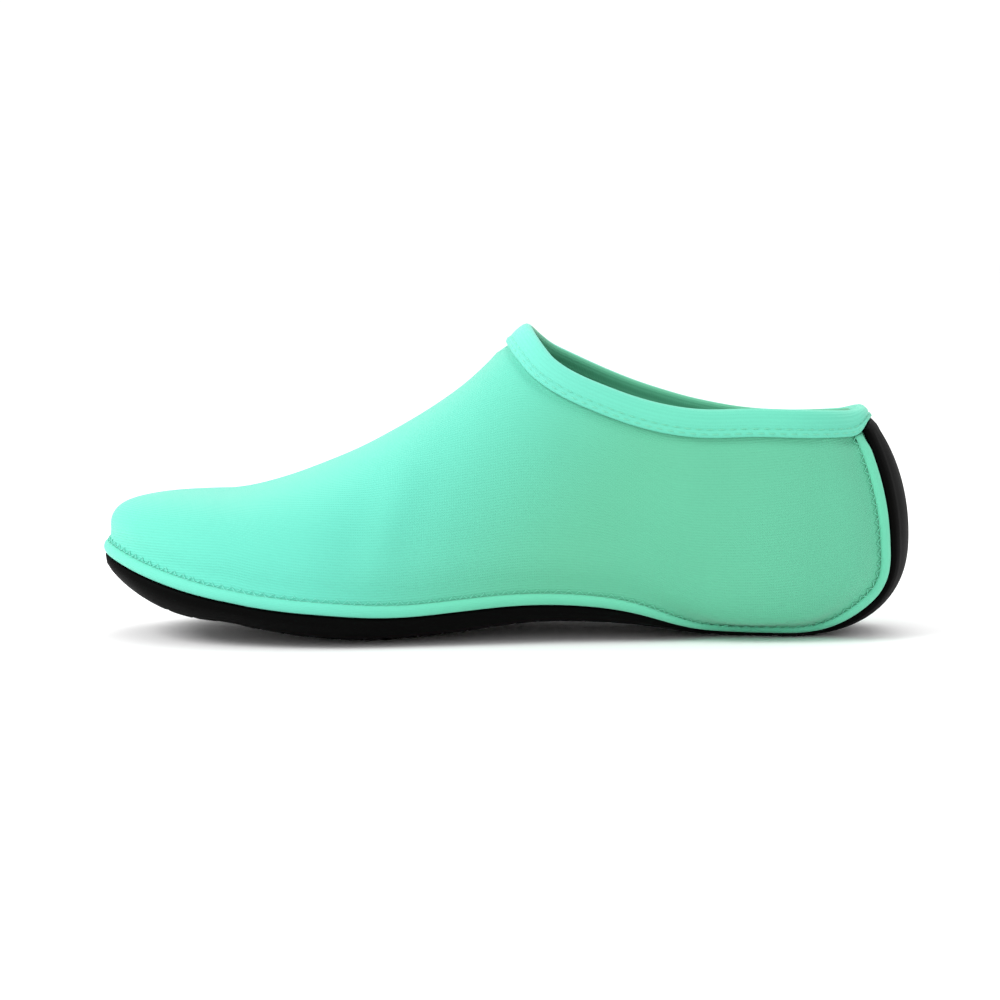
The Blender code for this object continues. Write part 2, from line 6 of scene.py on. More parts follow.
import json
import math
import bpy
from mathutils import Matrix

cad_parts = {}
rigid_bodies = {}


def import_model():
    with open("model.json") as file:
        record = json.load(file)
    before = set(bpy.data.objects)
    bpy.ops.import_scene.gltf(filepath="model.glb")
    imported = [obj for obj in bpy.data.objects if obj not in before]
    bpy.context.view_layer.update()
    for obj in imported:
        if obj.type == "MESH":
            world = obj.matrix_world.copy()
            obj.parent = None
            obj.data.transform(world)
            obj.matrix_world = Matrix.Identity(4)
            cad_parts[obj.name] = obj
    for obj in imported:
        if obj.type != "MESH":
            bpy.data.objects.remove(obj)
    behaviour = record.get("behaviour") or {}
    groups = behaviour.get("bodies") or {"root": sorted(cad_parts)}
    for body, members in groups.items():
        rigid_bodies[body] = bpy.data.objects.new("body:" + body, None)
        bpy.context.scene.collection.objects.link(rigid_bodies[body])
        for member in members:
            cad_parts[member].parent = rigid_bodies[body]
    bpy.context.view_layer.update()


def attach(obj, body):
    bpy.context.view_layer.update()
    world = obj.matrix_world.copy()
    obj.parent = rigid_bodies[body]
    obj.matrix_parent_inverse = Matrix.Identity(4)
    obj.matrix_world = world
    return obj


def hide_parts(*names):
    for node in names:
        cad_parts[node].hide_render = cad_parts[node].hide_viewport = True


bl_info = {
    "name": "Water Shoe",
    "version": (1, 0, 0),
    "blender": (4, 5, 0),
    "location": "View3D > Sidebar > Water Shoe",
    "description": "Builds a slip-on water shoe from a few sizes and colours",
    "category": "Add Mesh",
}

from collections import Counter, namedtuple

import bmesh
import bpy
import numpy as np
from mathutils import Vector

for old in list(bpy.data.objects):
    bpy.data.objects.remove(old, do_unlink=True)

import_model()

MEDIAL = -1
LATERAL = 1
SIDE_NAMES = {MEDIAL: "medial", LATERAL: "lateral"}

# Places along the shoe, as shares of its length from the toe
TOE_POLE = 0.156
THROAT = 0.5236
HEEL_POLE = 0.852
MOUTH = 0.73
THROAT_LEAN = 0.052

# Middle of the finished shoe in the plan's shares
MIDDLE_ALONG = 0.4986
MIDDLE_ACROSS = 0.0268

# Turn of the strip's edge from the heel's side, as a share of the quarter turn, from its foot to its top
STRIP_FOOT = 0.590
STRIP_WAIST = 0.638
STRIP_TOP = 0.535
STRIP_CURVE = 0.24

# How finely each side is divided
TOE_COLUMNS = 26
INSTEP_COLUMNS = 32
COLLAR_COLUMNS = 40
HEEL_COLUMNS = 24
STRIP_COLUMNS = 12
SOLE_ROWS = 34
MARGIN_ROWS = 5
WALL_ROWS = 56
HEM_ROWS = 6
INSOLE_ROWS = 18
STITCH_RINGS = 6
STITCH_SIDES = 6

# How finely a path over the form is measured before its rows are spaced
BOTTOM_SAMPLES = 90
WALL_SAMPLES = 121
INSOLE_SAMPLES = 60

# Rounds of smoothing for the seam's line and for the piping beside it
SEAM_ROUNDS = 14
PIPING_ROUNDS = 5

# Corner of the hem's section from which it wears the lining's darker colour, painted shade inside the
# fold
HEM_FOLD = 12

# Half of the run of g over which the hem changes beside the strip
HEM_FADE = 0.12

# Way round the section of piping and hem, for the knit's loops
PIPING_GIRTH = 0.011
HEM_GIRTH = 0.026

# Fade of the creases: clear run beside the seam and the runs over which they rise from seam and hem
CREASE_CLEAR = 0.003
CREASE_RISE = 0.010
CREASE_RISE_HEM = 0.012

# Rubber's edge: width and drop of its rounding, then place, width and height of the bead beside it
RIM_ROUND = 0.0010
RIM_DROP = 0.0006
BEAD_PLACE = 0.0030
BEAD_WIDTH = 0.0011
BEAD_HEIGHT = 0.00022

# Tread: width of its chevrons, twice their reach along the sole, plain run inside the edge and its rise
CHEVRON_WIDTH = 0.016
CHEVRON_REACH = 0.007
TREAD_CLEAR = 0.008
TREAD_RISE = 0.006

# Piping: lift off the fabric, share of its height that stands clear, and the tapered run at its ends
PIPING_LIFT = 0.0001
PIPING_STAND = 0.82
PIPING_TAPER = 0.006

# Foam insole: height of its edge, room under it, its thickness, and drop and width of its rounding
INSOLE_EDGE = 0.0034
INSOLE_ROOM = 0.0008
INSOLE_FOAM = 0.0028
INSOLE_DROP = 0.0009
INSOLE_ROUND = 0.003

# Camera: rise of its view in degrees, distance, lens in millimetres and the point it faces
VIEW_RISE = 6.0
VIEW_DISTANCE = 1.1
VIEW_LENS = 127.7
VIEW_TARGET = (-0.0019, 0.0, 0.0404)

# Studio: lights with size in metres and power in watts, the point they face, white sky and floor
Light = namedtuple("Light", "name place size power")
LIGHTS = [Light("key", (-1.05, -0.50, 1.05), 0.7, 12.0), Light("back", (0.25, 0.60, 1.10), 0.9, 5.0)]
LIGHT_TARGET = (0.0, 0.0, 0.04)
SKY_STRENGTH = 1.05
FLOOR_COLOUR = (0.96, 0.96, 0.96, 1.0)

# Plan of the upper at its widest: along is a share of the length, across a share of the ball width
PlanPoint = namedtuple("PlanPoint", "along across")
PLAN = [
    PlanPoint(0.9888, 0.016),
    PlanPoint(0.955, -0.225),
    PlanPoint(0.862, -0.327),
    PlanPoint(0.740, -0.340),
    PlanPoint(0.620, -0.334),
    PlanPoint(0.500, -0.362),
    PlanPoint(0.380, -0.422),
    PlanPoint(0.270, -0.462),
    PlanPoint(0.170, -0.438),
    PlanPoint(0.093, -0.366),
    PlanPoint(0.038, -0.244),
    PlanPoint(0.0090, -0.066),
    PlanPoint(0.030, 0.140),
    PlanPoint(0.087, 0.300),
    PlanPoint(0.165, 0.418),
    PlanPoint(0.265, 0.495),
    PlanPoint(0.365, 0.524),
    PlanPoint(0.480, 0.508),
    PlanPoint(0.600, 0.452),
    PlanPoint(0.725, 0.394),
    PlanPoint(0.850, 0.354),
    PlanPoint(0.955, 0.247),
]

# Sections from toe to heel, in the shares of the named sizes that each column follows
Section = namedtuple("Section", "along spine widest ridge spring arch under over")
SECTIONS = [
    Section(0.008, -0.050, 0.400, 0.000, 1.00, 0.00, 1.75, 3.60),
    Section(0.090, -0.050, 0.350, 0.000, 1.00, 0.00, 2.60, 3.20),
    Section(0.156, -0.050, 0.320, 0.000, 1.00, 0.00, 3.10, 2.90),
    Section(0.200, -0.040, 0.310, 0.038, 0.62, 0.00, 3.40, 2.70),
    Section(0.260, -0.020, 0.306, 0.135, 0.20, 0.00, 3.60, 2.50),
    Section(0.340, 0.000, 0.306, 0.310, 0.00, 0.00, 3.80, 2.35),
    Section(0.440, 0.010, 0.320, 0.620, 0.00, 0.40, 3.60, 2.20),
    Section(0.524, 0.015, 0.350, 1.000, 0.00, 0.94, 3.40, 2.15),
    Section(0.580, 0.018, 0.364, 1.190, 0.00, 1.00, 3.40, 2.10),
    Section(0.660, 0.018, 0.379, 1.270, 0.00, 0.80, 3.80, 2.10),
    Section(0.748, 0.014, 0.394, 1.250, 0.00, 0.22, 4.20, 2.10),
    Section(0.852, 0.012, 0.408, 1.110, 0.00, 0.00, 4.00, 2.10),
    Section(0.932, 0.012, 0.423, 0.835, 0.00, 0.00, 2.90, 2.00),
    Section(0.989, 0.012, 0.437, 0.650, 0.00, 0.00, 2.40, 2.00),
]

# Seam between upper and rubber: its height on each side, as a share of the rim height at the toe
SeamPoint = namedtuple("SeamPoint", "along medial lateral")
SEAM = [
    SeamPoint(0.008, 1.034, 1.034),
    SeamPoint(0.046, 0.884, 0.884),
    SeamPoint(0.095, 0.724, 0.724),
    SeamPoint(0.156, 0.584, 0.584),
    SeamPoint(0.220, 0.482, 0.482),
    SeamPoint(0.290, 0.416, 0.416),
    SeamPoint(0.350, 0.374, 0.374),
    SeamPoint(0.400, 0.390, 0.385),
    SeamPoint(0.450, 0.450, 0.420),
    SeamPoint(0.510, 0.490, 0.450),
    SeamPoint(0.570, 0.493, 0.453),
    SeamPoint(0.620, 0.455, 0.425),
    SeamPoint(0.665, 0.370, 0.355),
    SeamPoint(0.700, 0.260, 0.255),
    SeamPoint(0.735, 0.170, 0.170),
    SeamPoint(0.770, 0.128, 0.128),
    SeamPoint(0.820, 0.116, 0.116),
    SeamPoint(0.875, 0.119, 0.119),
    SeamPoint(0.910, 0.142, 0.142),
    SeamPoint(0.930, 0.208, 0.208),
    SeamPoint(0.946, 0.325, 0.325),
    SeamPoint(0.960, 0.530, 0.530),
    SeamPoint(0.969, 0.680, 0.680),
    SeamPoint(0.989, 0.700, 0.700),
]

# Collar line on each side, as a share of the drop from the instep's height to the heel's
CollarPoint = namedtuple("CollarPoint", "along medial lateral")
COLLAR = [
    CollarPoint(0.5236, 1.000, 1.000),
    CollarPoint(0.538, 0.812, 0.850),
    CollarPoint(0.554, 0.640, 0.720),
    CollarPoint(0.580, 0.480, 0.588),
    CollarPoint(0.620, 0.315, 0.404),
    CollarPoint(0.660, 0.180, 0.245),
    CollarPoint(0.700, 0.090, 0.117),
    CollarPoint(0.740, 0.050, 0.012),
    CollarPoint(0.800, 0.060, -0.090),
    CollarPoint(0.860, 0.040, -0.115),
    CollarPoint(0.940, 0.012, -0.065),
    CollarPoint(0.989, 0.000, 0.000),
]

# Soft creases, listed as lines on one side of the upper. Ends are shares of the length and
# of the instep height, width is in metres, and a positive depth is a ridge.
Crease = namedtuple("Crease", "side along low along_top high width depth")
CREASES = [
    Crease(MEDIAL, 0.300, 0.200, 0.345, 0.560, 0.0065, -0.00059),
    Crease(MEDIAL, 0.335, 0.200, 0.385, 0.600, 0.0055, 0.00051),
    Crease(MEDIAL, 0.375, 0.260, 0.420, 0.640, 0.0065, -0.00051),
    Crease(LATERAL, 0.300, 0.200, 0.340, 0.560, 0.0065, -0.00068),
    Crease(LATERAL, 0.335, 0.200, 0.375, 0.600, 0.0055, 0.00059),
    Crease(LATERAL, 0.380, 0.240, 0.420, 0.620, 0.0065, -0.00059),
    Crease(MEDIAL, 0.560, 0.640, 0.700, 0.460, 0.0080, -0.00076),
    Crease(MEDIAL, 0.600, 0.700, 0.760, 0.540, 0.0070, 0.00059),
    Crease(LATERAL, 0.560, 0.640, 0.700, 0.440, 0.0080, -0.00085),
    Crease(LATERAL, 0.610, 0.690, 0.770, 0.520, 0.0070, 0.00059),
    Crease(MEDIAL, 0.800, 0.560, 0.930, 0.440, 0.0080, -0.00051),
    Crease(LATERAL, 0.800, 0.540, 0.930, 0.420, 0.0080, -0.00059),
    Crease(MEDIAL, 0.620, 0.150, 0.760, 0.220, 0.0090, -0.00059),
    Crease(LATERAL, 0.620, 0.150, 0.760, 0.220, 0.0090, -0.00059),
]

# Dips and swells of the fabric beside the piping and below the hem, in metres off each line
Swell = namedtuple("Swell", "place width height")
SEAM_SWELLS = [Swell(0.0022, 0.0030, -0.00065), Swell(0.0100, 0.0045, 0.00040)]
HEM_SWELLS = [Swell(0.0006, 0.0013, -0.00050), Swell(0.0042, 0.0030, 0.00025)]

# Thread of each kind of stitch: radius, rise of the stitch and gap to the next one
Thread = namedtuple("Thread", "radius rise gap")
HEM_THREAD = Thread(0.00022, 0.00018, 0.0010)
SEAM_THREAD = Thread(0.00018, 0.00015, 0.00002)

# Rows of hem stitches, as shares of the hem's width from the edge and of its thickness over the upper
HemRow = namedtuple("HemRow", "name share lift")
HEM_STITCHES = [HemRow("hem_stitches_low", 0.84, 0.98), HemRow("hem_stitches_high", 0.66, 0.76)]

# Ends of the zigzag beside the piping: distance off its inner edge and height over the fabric
SeamRow = namedtuple("SeamRow", "off height")
SEAM_STITCHES = [SeamRow(-0.0005, 0.00062), SeamRow(0.0010, 0.00016)]
ZIGZAG_PITCH = 0.0016


def length_property(name, description, metres):
    """A length in metres."""
    return bpy.props.FloatProperty(name=name, description=description, default=metres, unit="LENGTH")


class ShoeSizes(bpy.types.PropertyGroup):
    """Sizes of the shoe."""

    length: length_property("Length", "Outside length over the rubber", 0.250)
    ball_width: length_property("Ball width", "Width of the upper at the ball", 0.0925)
    toe_height: length_property("Toe height", "Top of the toe over the floor", 0.044)
    instep_height: length_property("Instep height", "Front of the collar over the floor", 0.0943)
    heel_height: length_property("Heel height", "Back of the collar over the floor", 0.0686)
    toe_spring: length_property("Toe spring", "Lift of the sole at the toe", 0.0054)
    arch_lift: length_property("Arch lift", "Lift of the sole at the arch", 0.0046)
    rim_height: length_property("Rim height", "Height of the seam at the toe", 0.0245)
    wall: length_property("Wall", "Thickness of the upper", 0.0018)
    sole: length_property("Sole", "Thickness of the rubber underfoot", 0.0024)
    rim: length_property("Rim", "Outside of the rubber rim over the upper", 0.0021)
    margin: length_property("Lasting margin", "Width of upper inside the sole", 0.012)
    hem: length_property("Hem", "Width of the collar's hem", 0.008)
    hem_at_heel: length_property("Hem at heel", "Width of the hem over the strip", 0.0046)
    hem_fabric: length_property("Hem fabric", "Thickness of the folded hem", 0.0009)
    hem_cap: length_property("Hem cap", "Thickness of the hem over the strip", 0.0024)
    piping_width: length_property("Piping width", "Width of the piping", 0.0046)
    piping_height: length_property("Piping height", "Height of the piping", 0.0018)
    tread_pitch: length_property("Tread pitch", "Spacing of the tread's grooves", 0.0075)
    tread_depth: length_property("Tread depth", "Depth of the tread's grooves", 0.0007)
    stitch: length_property("Stitch", "Length of a hem stitch", 0.0024)
    fit: length_property("Fit", "Gap between neighbouring pieces", 0.0003)


def colour_property(name, description, rgb):
    """A colour property from 8-bit display values."""
    linear = [((v / 255 + 0.055) / 1.055) ** 2.4 if v > 10 else v / 255 / 12.92 for v in rgb]
    return bpy.props.FloatVectorProperty(
        name=name, description=description, size=3, subtype="COLOR", min=0.0, max=1.0, default=linear
    )


class ShoeColours(bpy.types.PropertyGroup):
    """Colours of the shoe: lit front and shaded rear copies, painted light and shade that is partly a
    real change of tone, and a darkened lining that is painted shade.
    """

    # Front and rear: painted light at the toe and instep and painted shade low at the rear, partly a
    # real change of tone
    front_lit: colour_property("Front", "Knit at the toe and instep", (100, 212, 190))
    rear_shaded: colour_property("Rear", "Knit low at the rear", (94, 186, 150))
    # Lighter than the knit: painted highlight on the hem's roll, with the same lit front and shaded rear
    hem: colour_property("Hem", "Knit of the hem at the instep", (115, 220, 202))
    hem_rear_shaded: colour_property("Hem rear", "Knit of the hem at the heel", (101, 206, 177))
    # Lighter than the knit: painted highlight on the piping's roll, with the same lit front and shaded
    # rear
    piping: colour_property("Piping", "Rolled piping at the toe", (106, 214, 190))
    piping_rear_shaded: colour_property("Piping rear", "Rolled piping at the heel", (104, 206, 170))
    # Lighter than the knit: painted light against the shade where the stitches sink, with the same lit
    # front and shaded rear
    thread: colour_property("Thread", "Stitching thread at the toe", (116, 222, 202))
    thread_rear_shaded: colour_property("Thread rear", "Stitching thread at the heel", (102, 202, 168))
    # Mint darkened for the inside of the upper and the hem's inner fold: painted shade
    lining_shaded: colour_property("Lining", "Inside of the upper", (84, 176, 138))
    rubber: colour_property("Rubber", "Moulded rubber", (5, 5, 5))
    insole: colour_property("Insole", "Insole cover", (70, 132, 108))


def sizes():
    """The scene's sizes."""
    return bpy.context.scene.shoe_sizes


def colours():
    """The scene's colours."""
    return bpy.context.scene.shoe_colours


def blend(table, column, along):
    """A smooth curve through one column of a table, read at shares of the length."""
    stations = np.array([row.along for row in table])
    values = np.array([getattr(row, column) for row in table])
    last = len(table) - 1
    before = np.maximum(np.arange(last + 1) - 1, 0)
    after = np.minimum(np.arange(last + 1) + 1, last)
    slope = (values[after] - values[before]) / (stations[after] - stations[before])
    place = np.clip(along, stations[0], stations[-1])
    left = np.clip(np.searchsorted(stations, place) - 1, 0, last - 1)
    span = stations[left + 1] - stations[left]
    share = (place - stations[left]) / span
    start = slope[left] * span
    end = slope[left + 1] * span
    rise = values[left + 1] - values[left]
    bend = 3.0 * rise - 2.0 * start - end
    twist = start + end - 2.0 * rise
    return values[left] + share * (start + share * (bend + share * twist))


def plan_curve(steps=24):
    """The closed plan outline as a dense smooth curve in metres."""
    knots = np.array([(row.along, row.across) for row in PLAN])
    count = len(knots)
    points = []
    for index in range(count):
        p0 = knots[index - 1]
        p1 = knots[index]
        p2 = knots[(index + 1) % count]
        p3 = knots[(index + 2) % count]
        for step in range(steps):
            t = step / steps
            a = -p0 + 3.0 * p1 - 3.0 * p2 + p3
            b = 2.0 * p0 - 5.0 * p1 + 4.0 * p2 - p3
            c = p2 - p0
            points.append(0.5 * (2.0 * p1 + t * (c + t * (b + t * a))))
    points.append(points[0])
    curve = np.array(points)
    curve[:, 0] = (curve[:, 0] - MIDDLE_ALONG) * sizes().length
    curve[:, 1] = (curve[:, 1] - MIDDLE_ACROSS) * sizes().ball_width
    return curve


# What the form has at one place: centre, plan point, heights and exponents
Station = namedtuple("Station", "cx cy px py bottom widest ridge under over")


class Form:
    """The outside of the upper, from which every piece is offset.

    On each side, g runs from -1 at the toe's tip round the toe to 0, along to 1 and round the heel to 2,
    and turn runs from -90 degrees underneath to 90 degrees on the ridge.
    """

    SAMPLES = 1501

    def __init__(self):
        s = sizes()
        self.length = s.length
        self.curve = plan_curve()
        self.g = np.linspace(-1.0, 2.0, self.SAMPLES)
        self.table = {side: self.stations(side) for side in (MEDIAL, LATERAL)}

    def place_x(self, along):
        return (along - MIDDLE_ALONG) * self.length

    def share(self, x):
        return x / self.length + MIDDLE_ALONG

    def spine(self, along):
        return (blend(SECTIONS, "spine", along) - MIDDLE_ACROSS) * sizes().ball_width

    def stations(self, side):
        """The stations for every sample of g."""
        s = sizes()
        g = self.g
        toe = np.array((self.place_x(TOE_POLE), float(self.spine(TOE_POLE))))
        heel = np.array((self.place_x(HEEL_POLE), float(self.spine(HEEL_POLE))))
        along = TOE_POLE + (HEEL_POLE - TOE_POLE) * np.clip(g, 0.0, 1.0)
        cx = self.place_x(along)
        cy = self.spine(along)
        tip = int(np.argmin(self.curve[:, 0]))
        half = self.curve[: tip + 1][::-1] if side == MEDIAL else self.curve[tip:]
        px = cx.copy()
        py = np.interp(cx, half[:, 0], half[:, 1])
        for pole, end in ((toe, "toe"), (heel, "heel")):
            away = self.curve - pole
            if end == "toe":
                turns = np.arctan2(side * away[:, 1], -away[:, 0])
                asked = (g + 1.0) * math.pi / 2.0
                here = g < 0.0
            else:
                turns = np.arctan2(away[:, 0], side * away[:, 1])
                asked = (g - 1.0) * math.pi / 2.0
                here = g > 1.0
            keep = np.abs(turns) < math.radians(140)
            order = np.argsort(turns[keep])
            px[here] = np.interp(asked[here], turns[keep][order], self.curve[keep][order][:, 0])
            py[here] = np.interp(asked[here], turns[keep][order], self.curve[keep][order][:, 1])
        share = self.share(px)
        base = np.clip(share, TOE_POLE, HEEL_POLE)
        spring = s.toe_spring * blend(SECTIONS, "spring", base)
        arch = s.arch_lift * blend(SECTIONS, "arch", base)
        bottom = s.sole + spring + arch
        widest = s.heel_height * blend(SECTIONS, "widest", share)
        climb = blend(SECTIONS, "ridge", np.maximum(share, TOE_POLE))
        ridge = s.toe_height + (s.instep_height - s.toe_height) * climb
        under = blend(SECTIONS, "under", share)
        over = blend(SECTIONS, "over", share)
        return np.stack([cx, cy, px, py, bottom, widest, ridge, under, over])

    def station(self, side, g):
        """The station's values at g."""
        return Station(*(np.interp(g, self.g, column) for column in self.table[side]))

    def point(self, side, g, turn):
        """Points of the form."""
        cx, cy, px, py, bottom, widest, ridge, under, over = self.station(side, g)
        power = np.where(turn > 0.0, over, under)
        c = np.abs(np.cos(turn))
        h = np.abs(np.sin(turn))
        scale = (c**power + h**power) ** (-1.0 / power)
        out = np.where(np.abs(turn) <= math.pi / 2.0, c, -c) * scale
        reach = np.where(turn > 0.0, ridge - widest, bottom - widest)
        z = widest + reach * h * scale
        return np.stack([cx + (px - cx) * out, cy + (py - cy) * out, z], axis=-1)

    def turn_at(self, side, g, z):
        """The turn at which the form has a height."""
        _, _, _, _, bottom, widest, ridge, under, over = self.station(side, g)
        high = z > widest
        power = np.where(high, over, under)
        rise = np.where(high, (z - widest) / (ridge - widest), (widest - z) / (widest - bottom))
        rise = np.clip(rise, 0.0, 1.0)
        out = (1.0 - rise**power) ** (1.0 / power)
        turn = np.arctan2(rise, out)
        return np.where(high, turn, -turn)

    def slopes(self, side, g, turn):
        """How the form moves with g and with turn."""
        dg = 0.004
        dt = 0.006
        edge = math.radians(88.5)
        turn = np.clip(turn, -edge, edge)
        low = np.maximum(g - dg, -1.0)
        high = np.minimum(g + dg, 2.0)
        along = (self.point(side, high, turn) - self.point(side, low, turn)) / (high - low)[..., None]
        around = (self.point(side, g, turn + dt) - self.point(side, g, turn - dt)) / (2.0 * dt)
        return along, around

    def normal(self, side, g, turn):
        """Outward normals of the form."""
        along, around = self.slopes(side, g, turn)
        n = unit(np.cross(along, around))
        here = self.station(side, g)
        out = self.point(side, g, turn) - np.stack([here.cx, here.cy, here.widest], axis=-1)
        return n * np.where((n * out).sum(-1) > 0.0, 1.0, -1.0)[..., None]

    def raised(self, side, g, turn, height):
        """Points at a height over the form."""
        height = np.broadcast_to(height, g.shape)[..., None]
        return self.point(side, g, turn) + self.normal(side, g, turn) * height

    def walk(self, side, g, turn, direction, distance, steps=6):
        """Where walks over the form end, as g and turn."""
        leg = unit(direction) * (np.asarray(distance) / steps)[..., None]
        for _ in range(steps):
            along, around = self.slopes(side, g, turn)
            aa = (along * along).sum(-1)
            ab = (along * around).sum(-1)
            bb = (around * around).sum(-1)
            la = (leg * along).sum(-1)
            lb = (leg * around).sum(-1)
            det = aa * bb - ab * ab
            g = g + (la * bb - lb * ab) / det
            turn = np.minimum(turn + (lb * aa - la * ab) / det, math.pi / 2.0)
        return g, turn

    def seam_turn(self, side, g):
        """The turn of the seam between upper and rubber."""
        here = self.station(side, g)
        z = sizes().rim_height * blend(SEAM, SIDE_NAMES[side], self.share(here.px))
        return self.turn_at(side, g, np.maximum(z, here.bottom + 0.0002))

    def collar_turn(self, side, g):
        """The turn of the collar's edge."""
        s = sizes()
        share = blend(COLLAR, SIDE_NAMES[side], self.share(self.station(side, g).px))
        return self.turn_at(side, g, s.heel_height + (s.instep_height - s.heel_height) * share)


def unit(vectors):
    """Vectors at a length of one."""
    return vectors / np.maximum(np.linalg.norm(vectors, axis=-1, keepdims=True), 1e-12)


def ease(share):
    """A smooth step from 0 to 1."""
    share = np.clip(share, 0.0, 1.0)
    return share * share * (3.0 - 2.0 * share)


def soften(values, rounds):
    """Values eased towards their neighbours, with both ends kept."""
    values = values.copy()
    for _ in range(rounds):
        values[1:-1] = 0.5 * values[1:-1] + 0.25 * (values[:-2] + values[2:])
    return values


def finer(values):
    """A grid of values with a column added between each two."""
    between = 0.5 * (values[:-1] + values[1:])
    out = np.empty((2 * len(values) - 1, values.shape[1]))
    out[::2] = values
    out[1::2] = between
    return out


def over_strip(g):
    """How far the hem has changed on its way over the strip, from 0 to 1."""
    return ease((g - 1.0 - STRIP_TOP + HEM_FADE) / (2.0 * HEM_FADE))


def hem_width(g):
    """Width of the hem, narrower over the strip at the heel."""
    s = sizes()
    return s.hem + (s.hem_at_heel - s.hem) * over_strip(g)


def hem_cap(g):
    """Thickness of the hem's fabric, thicker over the strip."""
    s = sizes()
    return s.hem_fabric + (s.hem_cap - s.hem_fabric) * over_strip(g)


def heel_turns(edge):
    """Columns round the heel, with one on the strip's edge."""
    side = 1.0 + edge * (np.arange(HEEL_COLUMNS) + 1) / HEEL_COLUMNS
    back = 1.0 + edge + (1.0 - edge) * (np.arange(STRIP_COLUMNS) + 1) / STRIP_COLUMNS
    return np.concatenate([side, back])


def even_rows(count):
    """A rule that spaces a number of rows evenly."""
    return lambda total: total[:, None] * np.linspace(0.0, 1.0, count + 1)


